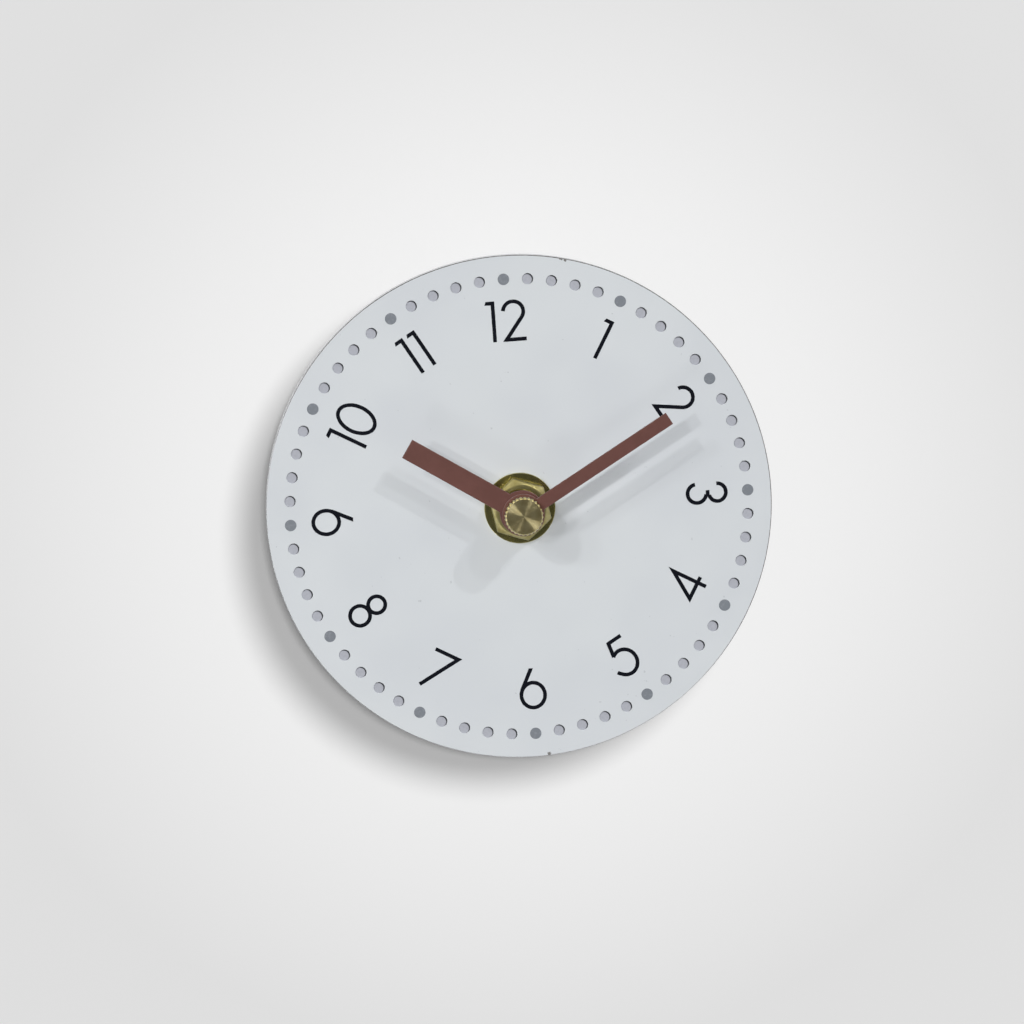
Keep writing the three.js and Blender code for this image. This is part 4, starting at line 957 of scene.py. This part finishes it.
# Each lamp's level is the share of full white that it gives a surface facing it.
lamps = {
    # right, up and out of the wall; distance and size in metres; level; what it lights
    "keyLamp": {"toward": (0.72, 0.88, 1), "distance": 3.0, "size": 0.06, "level": 0.08},
    "leftLamp": {"toward": (-0.373, 0.262, 1), "distance": 3.0, "size": 0.06, "level": 0.10},
    "leftLowLamp": {"toward": (-0.55, 0.172, 1), "distance": 3.0, "size": 0.08, "level": 0.105},
    "leftHighLamp": {"toward": (-0.559, 0.591, 1), "distance": 3.0, "size": 0.10, "level": 0.10},
    "sideLamp": {"toward": (-0.838, 0.630, 1), "distance": 3.0, "size": 0.20, "level": 0.05},
    "highLamp": {"toward": (0.495, 0.72, 1), "distance": 3.0, "size": 0.06, "level": 0.05},
    "lowLamp": {"toward": (-0.66, -0.74, 1), "distance": 3.0, "size": 0.42, "level": 0.035},
    "window": {"toward": (0.85, 0.95, 1), "distance": 6.0, "size": 2.0, "level": 0.31, "soft": True},
    "frontFill": {"toward": (-0.30, -0.55, 1), "distance": 0.6, "size": 0.35, "level": 0.11, "soft": True},
    "wallKey": {"toward": (0.27, 0.39, 1), "distance": 8.0, "size": 2.6, "level": 0.50, "wall": True},
    "wallFill": {"toward": (0.017, 0.165, 1), "distance": 8.0, "size": 0.8, "level": 0.26, "wall": True},
    "rearLamp": {"toward": (-0.6, 0.8, -1), "distance": 1.3, "size": 0.9, "level": 0.60, "direct": True},
    "rearFill": {"toward": (0.9, 0.1, -1), "distance": 1.3, "size": 0.9, "level": 0.35, "direct": True},
}


def lampSet(name, state, member):
    made = bpy.data.collections.new(name)
    made.objects.link(member)
    made.collection_objects[0].light_linking.link_state = state
    return made


wallOnly = lampSet("wallOnly", "INCLUDE", wallPiece)
notTheWall = lampSet("notTheWall", "EXCLUDE", wallPiece)
dialAlone = lampSet("dialAlone", "INCLUDE", dialPiece)


def makeLamp(name, row):
    (right, up, out), distance = row["toward"], row["distance"]
    way = Vector((right, -out, up)).normalized()
    lamp = bpy.data.lights.new(name, "AREA")
    lamp.shape = "DISK"
    lamp.size = row["size"]
    lamp.energy = row["level"] * pi * pi * distance ** 2 / abs(way.y)
    if "direct" in row:
        # It lights only what it strikes first, so none of it goes on from the dial's back to the wall.
        lamp.use_nodes = True
        bench = NodeBench(lamp.node_tree)
        first = bench.math("LESS_THAN", bench.add("ShaderNodeLightPath").outputs["Ray Depth"], 1.5)
        bench.add("ShaderNodeOutputLight", {"Surface": bench.add("ShaderNodeEmission", {"Strength": first})})
    piece = addObject(name, lamp)
    piece.location = Vector((0, -dialFace / 1000, 0)) + way * distance
    piece.rotation_mode = "QUATERNION"
    piece.rotation_quaternion = way.to_track_quat("Z", "Y")
    piece.light_linking.receiver_collection = wallOnly if "wall" in row else notTheWall
    if "soft" in row:
        # Soft room light: only the dial stops it, and no metal mirrors it as a bright patch.
        piece.light_linking.blocker_collection = dialAlone
        piece.visible_glossy = False


for name, row in lamps.items():
    makeLamp(name, row)


# The room is pale all round, darker in front and brighter high at the sides, where the metal mirrors it.
room = {"level": 0.11, "pale": (0.86, 0.86, 0.86, 1), "front": (0.06, 0.065, 0.06, 1),
        "frontFrom": (0.78, 0.97), "aside": (1.65, 1.65, 1.6, 1), "asideFrom": (0.6, 0.35),
        "high": (-0.5, 0, 0.87), "highFrom": (-0.3, 0.2)}


def makeRoom():
    world = bpy.data.worlds.new("room")
    scene.world = world
    world.use_nodes = True
    bench = NodeBench(world.node_tree)
    way = bench.add("ShaderNodeTexCoord").outputs["Generated"]
    toward = bench.measure("DOT_PRODUCT", way, (0, -1, 0))
    mirrored = bench.blend(bench.smooth(toward, *room["frontFrom"]), room["pale"], room["front"])
    high = bench.smooth(bench.measure("DOT_PRODUCT", way, room["high"]), *room["highFrom"])
    aside = bench.math("MULTIPLY", high, bench.smooth(bench.math("ABSOLUTE", toward), *room["asideFrom"]))
    mirrored = bench.blend(aside, mirrored, room["aside"])
    path = bench.add("ShaderNodeLightPath").outputs
    seen = bench.blend(path["Is Glossy Ray"], room["pale"], mirrored)
    shown = bench.math("MAXIMUM", path["Is Camera Ray"], path["Is Glossy Ray"])
    level = bench.smooth(shown, 0.0, 1.0, room["level"])
    sky = bench.add("ShaderNodeBackground", {"Color": seen, "Strength": level})
    bench.add("ShaderNodeOutputWorld", {"Surface": sky})


makeRoom()
print("wall, lamps and room made")


view = {"target": (-0.00157, -0.02125, -0.00076), "distance": 1.0763, "azimuth": -3.0, "elevation": 7.55,
        "roll": -4.084, "lens": 191.70, "sensor": 36, "clip": (0.05, 20)}
lens = bpy.data.cameras.new("camera")
lens.lens, lens.sensor_width = view["lens"], view["sensor"]
lens.clip_start, lens.clip_end = view["clip"]
camera = addObject("camera", lens)
scene.camera = camera
azimuth, elevation = radians(view["azimuth"]), radians(view["elevation"])
back = Vector((sin(azimuth) * cos(elevation), -cos(azimuth) * cos(elevation), sin(elevation)))
camera.rotation_mode = "QUATERNION"
camera.rotation_quaternion = back.to_track_quat("Z", "Y") @ Quaternion((0, 0, 1), radians(view["roll"]))
camera.location = Vector(view["target"]) + back * view["distance"]
print("camera set")
